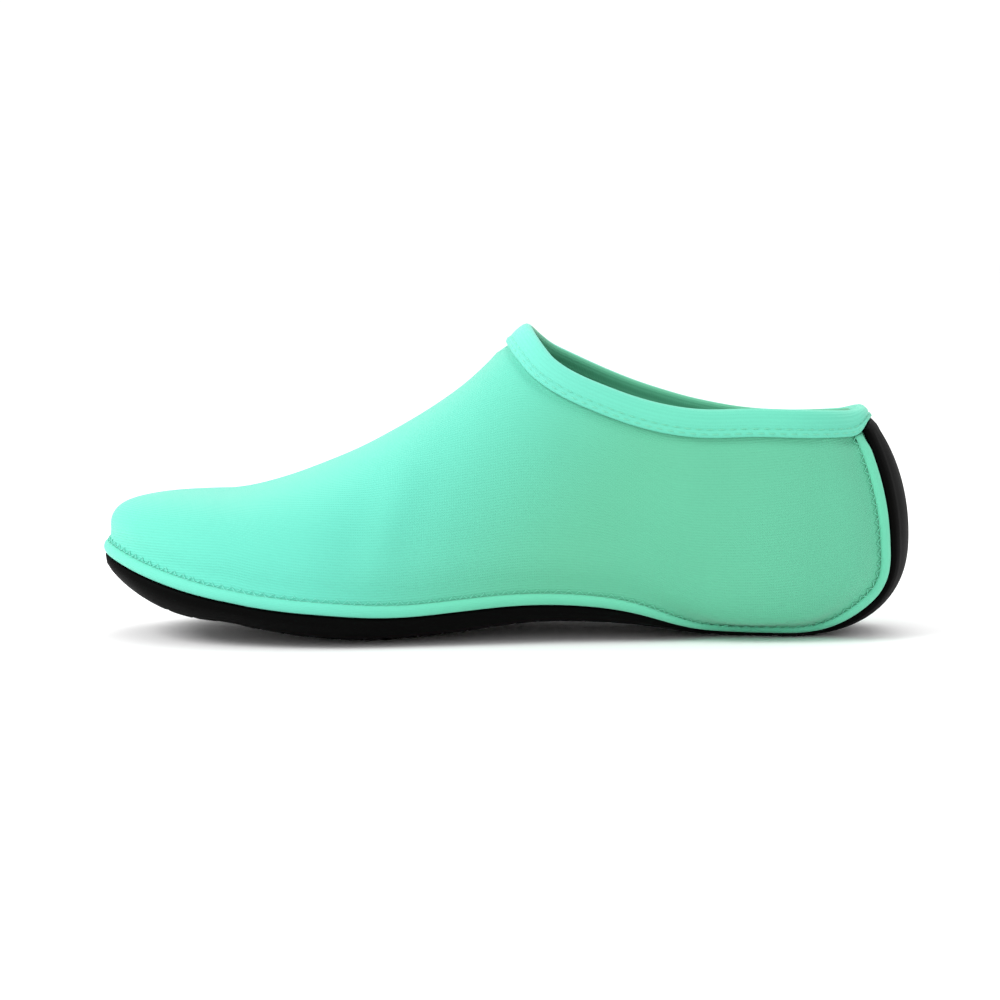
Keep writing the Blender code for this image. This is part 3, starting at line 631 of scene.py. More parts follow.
class Side:
    """One side of the form, divided into columns that all pieces share."""

    def __init__(self, form, side):
        self.form = form
        self.side = side
        self.throat = TOE_COLUMNS + INSTEP_COLUMNS
        self.strip = self.throat + COLLAR_COLUMNS + HEEL_COLUMNS
        self.feet = self.column_feet()
        self.seam = soften(form.seam_turn(side, self.feet), SEAM_ROUNDS)
        self.edge_g, self.edge_turn, self.edge_away = self.collar_edge()
        self.hem_line = self.ring(hem_width(self.edge_g))
        self.bottom = self.bottom_rows()
        self.wall = self.wall_rows()

    def column_feet(self):
        """Foot of each column, from the toe's tip to the middle of the heel."""
        throat = (THROAT - TOE_POLE - THROAT_LEAN) / (HEEL_POLE - TOE_POLE)
        toe = -1.0 + np.arange(TOE_COLUMNS) / TOE_COLUMNS
        instep = throat * np.arange(INSTEP_COLUMNS) / INSTEP_COLUMNS
        collar = throat + (1.0 - throat) * np.arange(COLLAR_COLUMNS + 1) / COLLAR_COLUMNS
        return np.concatenate([toe, instep, collar, heel_turns(STRIP_FOOT)])

    def collar_edge(self):
        """The collar's edge from throat to heel, with the way down from it."""
        form = self.form
        start = (THROAT - TOE_POLE) / (HEEL_POLE - TOE_POLE)
        steps = np.arange(COLLAR_COLUMNS + 1) / COLLAR_COLUMNS
        g = np.concatenate([start + (1.0 - start) * steps**1.85, heel_turns(STRIP_TOP)])
        turn = form.collar_turn(self.side, g)
        turn[0] = math.pi / 2.0
        points = form.point(self.side, g, turn)
        tangent = np.gradient(points, axis=0)
        tangent[0] = (0.0, 1.0, 0.0)
        tangent[-1] = (0.0, 1.0, 0.0)
        away = unit(np.cross(form.normal(self.side, g, turn), tangent))
        mouth = np.array((form.place_x(MOUTH), float(form.spine(MOUTH)), 2.0 * sizes().instep_height))
        away = away * np.where((away * (points - mouth)).sum(-1) < 0.0, -1.0, 1.0)[:, None]
        away[0, 1] = 0.0
        away[-1, 1] = 0.0
        return g, turn, unit(away)

    def ring(self, distance):
        """Spots at a distance down from the collar's edge."""
        distance = np.broadcast_to(distance, self.edge_g.shape)
        g, turn = self.form.walk(self.side, self.edge_g, self.edge_turn, self.edge_away, distance)
        g[-1] = 2.0
        turn[0] = math.pi / 2.0
        return g, turn

    def resample(self, g, turn, lengths):
        """Spots at given distances along paths, each path a row."""
        points = self.form.point(self.side, g, turn)
        steps = np.linalg.norm(np.diff(points, axis=1), axis=-1)
        run = np.concatenate([np.zeros((len(g), 1)), np.cumsum(steps, axis=1)], axis=1)
        asked = lengths(run[:, -1])
        out_g = np.stack([np.interp(a, r, row) for a, r, row in zip(asked, run, g)])
        out_turn = np.stack([np.interp(a, r, row) for a, r, row in zip(asked, run, turn)])
        return out_g, out_turn

    def from_middle(self, top, samples, lengths):
        """Spots from the middle of the bottom up to the turn given for each column."""
        shares = np.linspace(0.0, 1.0, samples)
        turn = -math.pi / 2.0 + (top[:, None] + math.pi / 2.0) * shares
        g = np.repeat(self.feet[:, None], samples, axis=1)
        g, turn = self.resample(g, turn, lengths)
        turn[:, 0] = -math.pi / 2.0
        return g, turn

    def bottom_rows(self):
        """Spots from the middle of the bottom to the seam."""
        bottom = self.form.station(self.side, self.feet).bottom
        height = self.form.point(self.side, self.feet, self.seam)[:, 2] - bottom

        def lengths(total):
            margin = np.minimum(sizes().margin + height, 0.7 * total)
            middle = (total - margin)[:, None]
            bare = middle * (np.arange(SOLE_ROWS) / SOLE_ROWS)
            under = middle + margin[:, None] * np.linspace(0.0, 1.0, 3 * MARGIN_ROWS + 1)
            return np.concatenate([bare, under], axis=1)

        return self.from_middle(self.seam, BOTTOM_SAMPLES, lengths)

    def wall_rows(self):
        """Spots up the wall from the seam to the ridge or the hem's lower line."""
        hem_g, hem_turn = self.hem_line
        ridge = hem_g[0] * np.arange(INSTEP_COLUMNS) / INSTEP_COLUMNS
        top_g = np.concatenate([np.zeros(TOE_COLUMNS), ridge, hem_g])
        top_turn = np.concatenate([np.full(self.throat, math.pi / 2.0), hem_turn])
        start = self.seam
        share = np.linspace(0.0, 1.0, WALL_SAMPLES)
        turn = start[:, None] + (top_turn - start)[:, None] * share
        waist = np.where(self.feet > 1.0, 0.0, self.feet)
        waist[self.feet > 1.0] = heel_turns(STRIP_WAIST)
        lean = np.where(self.feet <= 0.0, 0.0, top_g - waist)
        curve = 1.0 - (1.0 - np.clip(share / STRIP_CURVE, 0.0, 1.0)) ** 2
        g = self.feet[:, None] + (waist - self.feet)[:, None] * curve + lean[:, None] * share**2
        return self.resample(g, turn, even_rows(WALL_ROWS))

    def seam_line(self):
        """Spots of the seam along the rim and up the strip's edge to the hem."""
        rim_g = self.feet[: self.strip + 1]
        rim_turn = self.seam[: self.strip + 1]
        edge_g = self.wall[0][self.strip][1:]
        edge_turn = self.wall[1][self.strip][1:]
        return np.concatenate([rim_g, edge_g]), np.concatenate([rim_turn, edge_turn])


class Shoe:
    """Both sides of the form, made once for all pieces."""

    made = None

    def __init__(self):
        self.form = Form()
        self.sides = [Side(self.form, MEDIAL), Side(self.form, LATERAL)]

    @classmethod
    def get(cls):
        if cls.made is None:
            cls.made = cls()
        return cls.made


def distances(points, axis):
    """Running distance along one axis of a grid of points, in metres."""
    steps = np.linalg.norm(np.diff(points, axis=axis), axis=-1)
    start = np.zeros_like(np.take(steps, [0], axis=axis))
    return np.concatenate([start, np.cumsum(steps, axis=axis)], axis=axis)


class Net:
    """A surface of patches with shared edges, closed into a solid between two offsets."""

    def __init__(self, form):
        self.form = form
        self.points = []
        self.normals = []
        self.uv = []
        self.faces = []
        self.extra = []

    def add(self, side, g, turn, extra, flat=False):
        """Add one grid of spots, mapped along the shoe and down its columns, or flat from above."""
        start = sum(len(block) for block in self.points)
        count, rows = g.shape
        points = self.form.point(side, g, turn)
        u = points[..., 0]
        v = points[..., 1] if flat else distances(points, 1)
        self.points.append(points.reshape(-1, 3))
        self.normals.append(self.form.normal(side, g, turn).reshape(-1, 3))
        self.uv.append(np.stack([u, v], axis=-1).reshape(-1, 2))
        self.extra.append(extra.reshape(-1))
        index = start + np.arange(count * rows).reshape(count, rows)
        quads = np.stack([index[:-1, :-1], index[1:, :-1], index[1:, 1:], index[:-1, 1:]], axis=-1)
        self.faces.append(quads.reshape(-1, 4))

    def welded(self):
        """The joined points, normals and extra values, with each face's corners and their sources."""
        points = np.concatenate(self.points)
        normals = np.concatenate(self.normals)
        extra = np.concatenate(self.extra)
        mesh = bmesh.new()
        for place in points:
            mesh.verts.new(place)
        mesh.verts.index_update()
        found = bmesh.ops.find_doubles(mesh, verts=mesh.verts, dist=2e-5)["targetmap"]
        target = np.arange(len(points))
        for a, b in found.items():
            target[a.index] = b.index
        mesh.free()
        summed = np.zeros_like(normals)
        np.add.at(summed, target, normals)
        return points, unit(summed), extra, target

    def solid(self, name, outer, inner, floor=None):
        """The closed mesh between two heights over the net, with its outside kept above a floor."""
        points, normals, extra, target = self.welded()
        high = points + normals * outer(points, normals, extra)[:, None]
        low = points + normals * inner(points, normals, extra)[:, None]
        if floor is not None:
            high[:, 2] = np.maximum(high[:, 2], floor(points))
        count = len(points)
        uv = np.concatenate(self.uv)
        faces = []
        corners = []
        kinds = []
        edges = Counter()
        rings = []
        for face in np.concatenate(self.faces):
            joined = [int(v) for v in target[face]]
            keep = [i for i in range(4) if joined[i] != joined[i - 1]]
            if len(keep) < 3:
                continue
            ring = [joined[i] for i in keep]
            source = [int(face[i]) for i in keep]
            a, b, c = points[ring[0]], points[ring[1]], points[ring[2]]
            across = np.cross(b - a, c - a)
            if float(across @ normals[ring].sum(0)) < 0.0:
                ring.reverse()
                source.reverse()
            rings.append((ring, source))
            edges.update(frozenset(edge) for edge in zip(ring, ring[1:] + ring[:1]))
        for ring, source in rings:
            faces.append(ring)
            corners.append(source)
            kinds.append(0)
            faces.append([v + count for v in reversed(ring)])
            corners.append(list(reversed(source)))
            kinds.append(1)
            for i in range(len(ring)):
                j = (i + 1) % len(ring)
                if edges[frozenset((ring[i], ring[j]))] == 1:
                    faces.append([ring[j], ring[i], ring[i] + count, ring[j] + count])
                    corners.append([source[j], source[i], source[i], source[j]])
                    kinds.append(2)
        return mesh_piece(name, np.concatenate([high, low]), faces, corners, uv, kinds)


def mesh_piece(name, points, faces, corners, uv, kinds=None):
    """A smooth mesh object with one map and face materials by kind."""
    used = sorted({v for face in faces for v in face})
    order = {v: i for i, v in enumerate(used)}
    data = bpy.data.meshes.new(name)
    rings = [[order[v] for v in face] for face in faces]
    data.from_pydata([tuple(points[v]) for v in used], [], rings)
    layer = data.uv_layers.new(name="Fabric")
    flat = np.array([uv[c] for face in corners for c in face], dtype=np.float32)
    layer.data.foreach_set("uv", flat.ravel())
    data.polygons.foreach_set("use_smooth", np.ones(len(faces), dtype=bool))
    if kinds is not None:
        data.polygons.foreach_set("material_index", np.array(kinds, dtype=np.int32))
    data.validate()
    data.update()
    piece = bpy.data.objects.new(name, data)
    bpy.context.collection.objects.link(piece)
    return piece


def dress(piece, *materials):
    """Give a piece its materials in the order of its faces' kinds."""
    for material in materials:
        piece.data.materials.append(material)


def crease_height(form, side, points):
    """Height of the listed creases at points of one side."""
    height = np.zeros(points.shape[:-1])
    s = sizes()
    for crease in CREASES:
        if crease.side != side:
            continue
        a = np.array((form.place_x(crease.along), crease.low * s.instep_height))
        b = np.array((form.place_x(crease.along_top), crease.high * s.instep_height))
        flat = points[..., (0, 2)]
        run = b - a
        share = np.clip(((flat - a) @ run) / (run @ run), -0.2, 1.2)
        away = flat - (a + share[..., None] * run)
        across = np.linalg.norm(away, axis=-1) / crease.width
        fade = 1.0 - np.abs(2.0 * share - 1.0) ** 2.5 * 0.75
        height += crease.depth * np.exp(-across**2) * np.clip(fade, 0.0, 1.0)
    return height


def swells(table, distance):
    """Height of soft dips and swells at a distance from a line."""
    return sum(row.height * np.exp(-(((distance - row.place) / row.width) ** 2)) for row in table)


def seam_groove(distance):
    """Height of the fabric beside the seam, where it dips next to the piping."""
    return swells(SEAM_SWELLS, distance - sizes().piping_width)


def distance_to_line(points, line):
    """Shortest distance from each point to a dense line."""
    flat = points.reshape(-1, 3)
    best = np.full(len(flat), 1.0)
    for start in range(0, len(line), 40):
        gap = flat[:, None, :] - line[None, start : start + 40, :]
        best = np.minimum(best, np.sqrt((gap * gap).sum(-1)).min(1))
    return best.reshape(points.shape[:-1])


def read_line(at, run, line):
    """Points of a line at asked distances, from the running distance of its own."""
    return np.stack([np.interp(at, run, line[:, k]) for k in range(3)], axis=-1)


def dense(line, count):
    """A line with extra points between its own."""
    shares = np.linspace(0.0, 1.0, count, endpoint=False)
    between = line[:-1, None, :] + (line[1:] - line[:-1])[:, None, :] * shares[None, :, None]
    return np.concatenate([between.reshape(-1, 3), line[-1:]])


def make_upper():
    """Stretch upper with its creases and the sunk lines beside piping and hem."""
    shoe = Shoe.get()
    form = shoe.form
    s = sizes()
    net = Net(form)
    for part in shoe.sides:
        bottom_g, bottom_turn = part.bottom
        wall_g, wall_turn = part.wall
        g = np.concatenate([bottom_g[:, SOLE_ROWS:-1], wall_g], axis=1)
        turn = np.concatenate([bottom_turn[:, SOLE_ROWS:-1], wall_turn], axis=1)
        points = form.point(part.side, g, turn)
        to_seam = distance_to_line(points, dense(form.point(part.side, *part.seam_line()), 4))
        to_hem = distance_to_line(points, dense(form.point(part.side, *part.hem_line), 4))
        behind = np.zeros(g.shape, dtype=bool)
        behind[part.strip :] = True
        behind[:, : 3 * MARGIN_ROWS] = True
        relief = crease_height(form, part.side, points)
        relief *= ease((to_seam - CREASE_CLEAR) / CREASE_RISE)
        relief *= ease(to_hem / CREASE_RISE_HEM)
        relief += seam_groove(to_seam) + swells(HEM_SWELLS, to_hem)
        relief[behind] = 0.0
        net.add(part.side, g, turn, relief)
        width = hem_width(part.edge_g)
        rows = [part.ring(width * (1.0 - index / HEM_ROWS)) for index in range(HEM_ROWS + 1)]
        ring_g, ring_turn = (np.stack(values, axis=1) for values in zip(*rows))
        under_hem = np.zeros(ring_g.shape)
        under_hem[:, 0] = relief[part.throat :, -1]
        net.add(part.side, ring_g, ring_turn, under_hem)
    piece = net.solid("upper_knit", lambda p, n, e: e, lambda p, n, e: e - s.wall)
    c = colours()
    outside = knit("mint_knit", c.front_lit, c.rear_shaded, 0.00105, 0.30)
    # The inside wears the darkened lining colour, painted shade
    inside = knit("shaded_lining_knit", c.lining_shaded, c.lining_shaded, 0.0014, 0.35)
    dress(piece, outside, inside, knit("edge_knit", c.rear_shaded, c.rear_shaded, 0.0014, 0.2))
    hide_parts("upper")
    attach(piece, "root")


def tread(points):
    """Depth of the tread's chevron grooves at points of the sole's underside."""
    s = sizes()
    wave = np.abs(((points[:, 1] / CHEVRON_WIDTH) % 1.0) - 0.5) * CHEVRON_REACH
    phase = ((points[:, 0] + wave) / s.tread_pitch) % 1.0
    groove = ease((0.16 - np.abs(phase - 0.5)) / 0.08)
    return s.tread_depth * groove


def make_outsole():
    """Moulded rubber with a rounded rim, a treaded underside and the strip up the heel."""
    shoe = Shoe.get()
    form = shoe.form
    s = sizes()
    net = Net(form)
    for part in shoe.sides:
        g, turn = (finer(values) for values in part.bottom)
        line = dense(form.point(part.side, *part.seam_line()), 4)
        net.add(part.side, g, turn, distance_to_line(form.point(part.side, g, turn), line))
        wall_g, wall_turn = (finer(values[part.strip :]) for values in part.wall)
        wall_points = form.point(part.side, wall_g, wall_turn)
        top = np.linalg.norm(wall_points - wall_points[:, -1:], axis=-1)
        edge = np.minimum(distance_to_line(wall_points, line), top)
        net.add(part.side, wall_g, wall_turn, edge)

    def outer(points, normals, to_edge):
        down = np.maximum(-normals[:, 2], 0.0)
        body = s.rim + (s.sole + 0.0002 - s.rim) * down**2
        round_over = 1.0 - np.clip(to_edge / RIM_ROUND, 0.0, 1.0)
        bead = BEAD_HEIGHT * np.exp(-(((to_edge - BEAD_PLACE) / BEAD_WIDTH) ** 2)) * (1.0 - down)
        groove = tread(points) * ease((down - 0.86) / 0.10) * ease((to_edge - TREAD_CLEAR) / TREAD_RISE)
        return body - RIM_DROP * round_over**2 + bead - groove

    def inner(points, normals, to_edge):
        return np.full(len(points), s.fit)

    def floor(points):
        return tread(points) * 0.9

    piece = net.solid("outsole_rubber", outer, inner, floor)
    dress(piece, rubber("moulded_rubber"), rubber("inner_rubber"), rubber("cut_rubber"))
    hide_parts("outsole")
    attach(piece, "root")


def tube_piece(name, sections, closed, uv_u, around):
    """A solid through like sections given as an array of section, corner and coordinate."""
    count, corners = sections.shape[:2]
    points = sections.reshape(-1, 3)
    index = np.arange(count * corners).reshape(count, corners)
    u, v = np.meshgrid(uv_u, around, indexing="ij")
    uv = np.stack([u, v], axis=-1).reshape(-1, 2)
    faces = []
    last = count if closed else count - 1
    for i in range(last):
        j = (i + 1) % count
        for k in range(corners):
            m = (k + 1) % corners
            faces.append([int(index[i, k]), int(index[i, m]), int(index[j, m]), int(index[j, k])])
    if not closed:
        faces.append([int(v) for v in index[0][::-1]])
        faces.append([int(v) for v in index[-1]])
    piece = mesh_piece(name, points, faces, faces, uv)
    mesh = bmesh.new()
    mesh.from_mesh(piece.data)
    bmesh.ops.recalc_face_normals(mesh, faces=mesh.faces)
    mesh.to_mesh(piece.data)
    mesh.free()
    return piece


def join_sides(parts, closed):
    """Both sides' runs as one line, from heel round the toe to heel, or as a loop round the collar."""
    medial, lateral = parts
    if closed:
        return np.concatenate([medial, lateral[::-1][1:-1]])
    return np.concatenate([medial[::-1], lateral[1:]])


def piping_profile():
    """The piping's section: distances from the seam and heights over the upper."""
    s = sizes()
    width = s.piping_width
    over = []
    for a in np.linspace(0.0, math.pi, 15):
        across = 0.5 * width - (0.5 * width - s.fit) * math.cos(a)
        stand = PIPING_STAND * s.piping_height * math.sin(a) ** 0.8
        over.append((across, float(seam_groove(across)) + PIPING_LIFT + stand))
    under = [(share * width, float(seam_groove(share * width))) for share in (0.75, 0.5, 0.25)]
    return over + under


def piping_path(part):
    """Spots along the seam for one side's piping, with the ways off it."""
    form = part.form
    g, turn = part.seam_line()
    g = soften(g[:-1], PIPING_ROUNDS)
    turn = soften(turn[:-1], PIPING_ROUNDS)
    points = form.point(part.side, g, turn)
    tangent = np.gradient(points, axis=0)
    if part.side == MEDIAL:
        tangent = -tangent
    tangent[0] = (0.0, 1.0, 0.0)
    away = unit(np.cross(tangent, form.normal(part.side, g, turn)))
    away[0, 1] = 0.0
    return g, turn, unit(away)


def beside_seam(part, path, distance, height):
    """Points at a distance off the piping's line and at a height over the upper."""
    g, turn, away = path
    g, turn = part.form.walk(part.side, g, turn, away, np.full(g.shape, distance))
    g[0] = -1.0
    return part.form.raised(part.side, g, turn, height)


def make_piping():
    """Rolled piping along the rubber's edge."""
    runs = []
    for part in Shoe.get().sides:
        path = piping_path(part)
        run = distances(part.form.point(part.side, *path[:2])[:, None, :], 0)[:, 0]
        tuck = 0.25 + 0.75 * ease((run[-1] - run) / PIPING_TAPER)
        corners = [beside_seam(part, path, off, height * tuck) for off, height in piping_profile()]
        runs.append(np.stack(corners, axis=1))
    runs[1][0] = 0.5 * (runs[0][0] + runs[1][0])
    sections = join_sides(runs, False)
    along = distances(sections[:, 3:4], 0)[:, 0]
    around = np.linspace(0.0, PIPING_GIRTH, sections.shape[1])
    piece = tube_piece("seam_piping_roll", sections, False, along, around)
    dress(piece, knit("piping_knit", colours().piping, colours().piping_rear_shaded, 0.0009, 0.25))
    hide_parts("seam_piping")
    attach(piece, "root")


def binding_profile(hem, cap):
    """The hem's section at each place: distances from the edge and heights over the upper."""
    s = sizes()
    inside = s.wall + s.fit
    cloth = s.hem_fabric
    one = np.ones_like(hem)
    return [
        (hem - s.fit, s.fit * one),
        (hem - s.fit, s.fit + 0.55 * cap),
        (hem - s.fit - 0.0004, s.fit + 0.90 * cap),
        (0.86 * hem, s.fit + cap),
        (0.72 * hem, s.fit + 0.96 * cap),
        (0.66 * hem, s.fit + 0.72 * cap),
        (0.60 * hem, s.fit + 0.98 * cap),
        (0.45 * hem, s.fit + 1.12 * cap),
        (0.22 * hem, s.fit + 1.08 * cap),
        (0.06 * hem, s.fit + 0.92 * cap),
        (-0.0006 * one, s.fit + 0.45 * cap),
        (-s.fit - 0.80 * cloth * one, 0.0 * one),
        (-s.fit - cloth * one, -0.5 * s.wall * one),
        (-s.fit - 0.80 * cloth * one, -s.wall * one),
        (-0.0006 * one, (-inside - 0.45 * cloth) * one),
        (0.06 * hem, (-inside - 0.85 * cloth) * one),
        (0.40 * hem, (-inside - cloth) * one),
        (0.80 * hem, (-inside - cloth) * one),
        (hem - s.fit - 0.0003, (-inside - 0.85 * cloth) * one),
        (hem - s.fit, (-inside - 0.5 * cloth) * one),
        (hem - s.fit, -inside * one),
        (0.5 * hem, -inside * one),
        (-s.fit * one, -inside * one),
        (-s.fit * one, s.fit * one),
        (0.5 * hem, s.fit * one),
    ]


def collar_run(part, profile):
    """The points of a profile round one side of the collar."""
    corners = []
    for distance, height in profile:
        g, turn = part.ring(distance)
        corners.append(part.form.raised(part.side, g, turn, height))
    return np.stack(corners, axis=1)


def make_binding():
    """Folded hem round the collar, with a stitched channel."""
    shoe = Shoe.get()
    runs = []
    for part in shoe.sides:
        profile = binding_profile(hem_width(part.edge_g), hem_cap(part.edge_g))
        runs.append(collar_run(part, profile))
    for end in (0, -1):
        runs[1][end] = 0.5 * (runs[0][end] + runs[1][end])
        runs[0][end] = runs[1][end]
    sections = join_sides(runs, True)
    along = distances(sections[:, 7:8], 0)[:, 0]
    around = np.linspace(0.0, HEM_GIRTH, sections.shape[1])
    piece = tube_piece("collar_hem", sections, True, along, around)
    c = colours()
    fabric = knit("hem_knit", c.hem, c.hem_rear_shaded, 0.0010, 0.28)
    dress(piece, fabric, knit("hem_shaded_lining", c.lining_shaded, c.lining_shaded, 0.0012, 0.28))
    # Faces inside the fold wear the darkened lining colour, painted shade
    inside = [1 if HEM_FOLD <= face.index % sections.shape[1] else 0 for face in piece.data.polygons]
    piece.data.polygons.foreach_set("material_index", inside)
    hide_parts("collar_binding")
    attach(piece, "root")


def stitches(name, line, normals, kind, length):
    """Rounded thread stitches laid end to end along a line, as one mesh."""
    run = distances(line[:, None, :], 0)[:, 0]
    total = run[-1]
    count = int(total / (length + kind.gap))
    rings = STITCH_RINGS
    sides = STITCH_SIDES
    points = []
    faces = []
    uv = []
    for index in range(count):
        start = total * index / count
        shares = np.linspace(0.0, 1.0, rings)
        at = start + shares * length
        n = unit(read_line(at, run, normals))
        lift = kind.rise * np.sin(math.pi * shares) - 0.6 * kind.rise
        centre = read_line(at, run, line) + n * lift[:, None]
        tangent = unit(np.gradient(centre, axis=0))
        across = np.cross(tangent, n)
        size = kind.radius * (0.55 + 0.45 * np.sin(math.pi * shares))
        base = len(points)
        for i in range(rings):
            for k in range(sides):
                a = 2.0 * math.pi * k / sides
                points.append(centre[i] + size[i] * (math.cos(a) * across[i] + math.sin(a) * n[i]))
                uv.append((at[i], k / sides * kind.radius * 6.0))
        for i in range(rings - 1):
            for k in range(sides):
                m = (k + 1) % sides
                low = base + i * sides
                faces.append([low + k, low + m, low + sides + m, low + sides + k])
        faces.append([base + k for k in range(sides)][::-1])
        faces.append([base + (rings - 1) * sides + k for k in range(sides)])
    piece = mesh_piece(name, np.array(points), faces, faces, np.array(uv))
    dress(piece, thread("mint_thread"))
    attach(piece, "root")


def make_hem_stitching():
    """Two rows of stitches in and beside the hem's channel."""
    shoe = Shoe.get()
    s = sizes()
    for row in HEM_STITCHES:
        runs = []
        normals = []
        for part in shoe.sides:
            g, turn = part.ring(row.share * hem_width(part.edge_g))
            height = s.fit + row.lift * hem_cap(part.edge_g)
            runs.append(part.form.raised(part.side, g, turn, height))
            normals.append(part.form.normal(part.side, g, turn))
        stitches(row.name, join_sides(runs, True), join_sides(normals, True), HEM_THREAD, s.stitch)


def make_seam_stitching():
    """Zigzag stitches over the piping's inner edge."""
    shoe = Shoe.get()
    s = sizes()
    runs = []
    normals = []
    for part in shoe.sides:
        path = piping_path(part)
        rows = []
        for row in SEAM_STITCHES:
            distance = s.piping_width + row.off
            height = float(seam_groove(distance)) + row.height
            rows.append(beside_seam(part, path, distance, height))
        runs.append(np.stack(rows, axis=1))
        normals.append(part.form.normal(part.side, *path[:2]))
    rows = join_sides(runs, False)
    out = join_sides(normals, False)
    run = distances(rows[:, :1], 0)[:, 0]
    count = int(run[-1] / ZIGZAG_PITCH)
    at = np.linspace(0.0, run[-1], count)
    inner = read_line(at, run, rows[:, 0])
    outer = read_line(at, run, rows[:, 1])
    n = unit(read_line(at, run, out))
    side = (np.arange(count) % 2)[:, None]
    zigzag = inner * (1 - side) + outer * side
    fine = dense(zigzag, 2)
    fine_n = unit(dense(n, 2))
    leg = float(np.linalg.norm(zigzag[1] - zigzag[0]))
    stitches("seam_stitches", fine, fine_n, SEAM_THREAD, leg - SEAM_THREAD.gap)


def make_insole():
    """Fabric-covered foam insole."""
    shoe = Shoe.get()
    form = shoe.form
    s = sizes()
    net = Net(form)
    for part in shoe.sides:
        bottom = form.station(part.side, part.feet).bottom
        top = form.turn_at(part.side, part.feet, bottom + INSOLE_EDGE)
        g, turn = part.from_middle(top, INSOLE_SAMPLES, even_rows(INSOLE_ROWS))
        run = distances(form.point(part.side, g, turn), 1)
        net.add(part.side, g, turn, run[:, -1:] - run, flat=True)
    base = s.wall + INSOLE_ROOM

    def under(points, normals, edge):
        return np.full(len(points), -base)

    def cover(points, normals, edge):
        round_over = 1.0 - np.clip(edge / INSOLE_ROUND, 0.0, 1.0)
        return -base - INSOLE_FOAM + INSOLE_DROP * round_over**2

    piece = net.solid("insole_foam", under, cover)
    for name, strength in (("insole_under", 0.3), ("insole_cover", 0.35), ("insole_edge", 0.3)):
        dress(piece, knit(name, colours().insole, colours().insole, 0.0016, strength))
    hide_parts("insole")
    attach(piece, "root")


def feed(tree, made, values):
    """Give a node's inputs fixed values or links."""
    for socket, value in values.items():
        if isinstance(value, bpy.types.NodeSocket):
            tree.links.new(value, made.inputs[socket])
        else:
            made.inputs[socket].default_value = value


def node(tree, kind, inputs, **settings):
    """A shader node with its settings and inputs."""
    made = tree.nodes.new(kind)
    for key, value in settings.items():
        setattr(made, key, value)
    feed(tree, made, inputs)
    return made


def blank(name):
    """A new material, its node tree and its shader."""
    made = bpy.data.materials.new(name)
    made.use_nodes = True
    tree = made.node_tree
    return made, tree, tree.nodes["Principled BSDF"]


def rgba(colour, factor=1.0):
    """A colour with full alpha."""
    return (colour[0] * factor, colour[1] * factor, colour[2] * factor, 1.0)


def mix(tree, factor, first, second):
    """A mix of two colours, as a link."""
    return node(tree, "ShaderNodeMix", {0: factor, 6: first, 7: second}, data_type="RGBA").outputs[2]


def maths(tree, operation, first, second=0.0):
    """What an operation makes of two numbers or links, as a link."""
    return node(tree, "ShaderNodeMath", {0: first, 1: second}, operation=operation).outputs[0]


def axes(tree, where):
    """The three numbers of a place, as links."""
    return node(tree, "ShaderNodeSeparateXYZ", {0: where}).outputs


def noise(tree, where, scale, detail):
    """Cloudy noise, as a link."""
    inputs = {"Scale": scale, "Detail": detail, "Vector": where}
    return node(tree, "ShaderNodeTexNoise", inputs).outputs["Fac"]


def step(tree, value, start, end):
    """A smooth step from 0 to 1 between two values, as a link."""
    inputs = {"From Min": start, "From Max": end, "Value": value}
    return node(tree, "ShaderNodeMapRange", inputs, interpolation_type="SMOOTHSTEP").outputs[0]


def bump(tree, height, strength, distance, **below):
    """Normals bent by a height, as a link, over other normals if any are given."""
    inputs = {"Strength": strength, "Distance": distance, "Height": height, **below}
    return node(tree, "ShaderNodeBump", inputs).outputs["Normal"]


def painted_shade_rearward(tree, where):
    """Painted light and shade: a slow change from 0 at the lit toe and instep to 1 low at the shaded
    rear, partly a real change of tone.
    """
    x, _, z = axes(tree, where)
    slant = maths(tree, "SUBTRACT", x, maths(tree, "MULTIPLY", z, 0.68))
    return step(tree, slant, -0.085, 0.008)


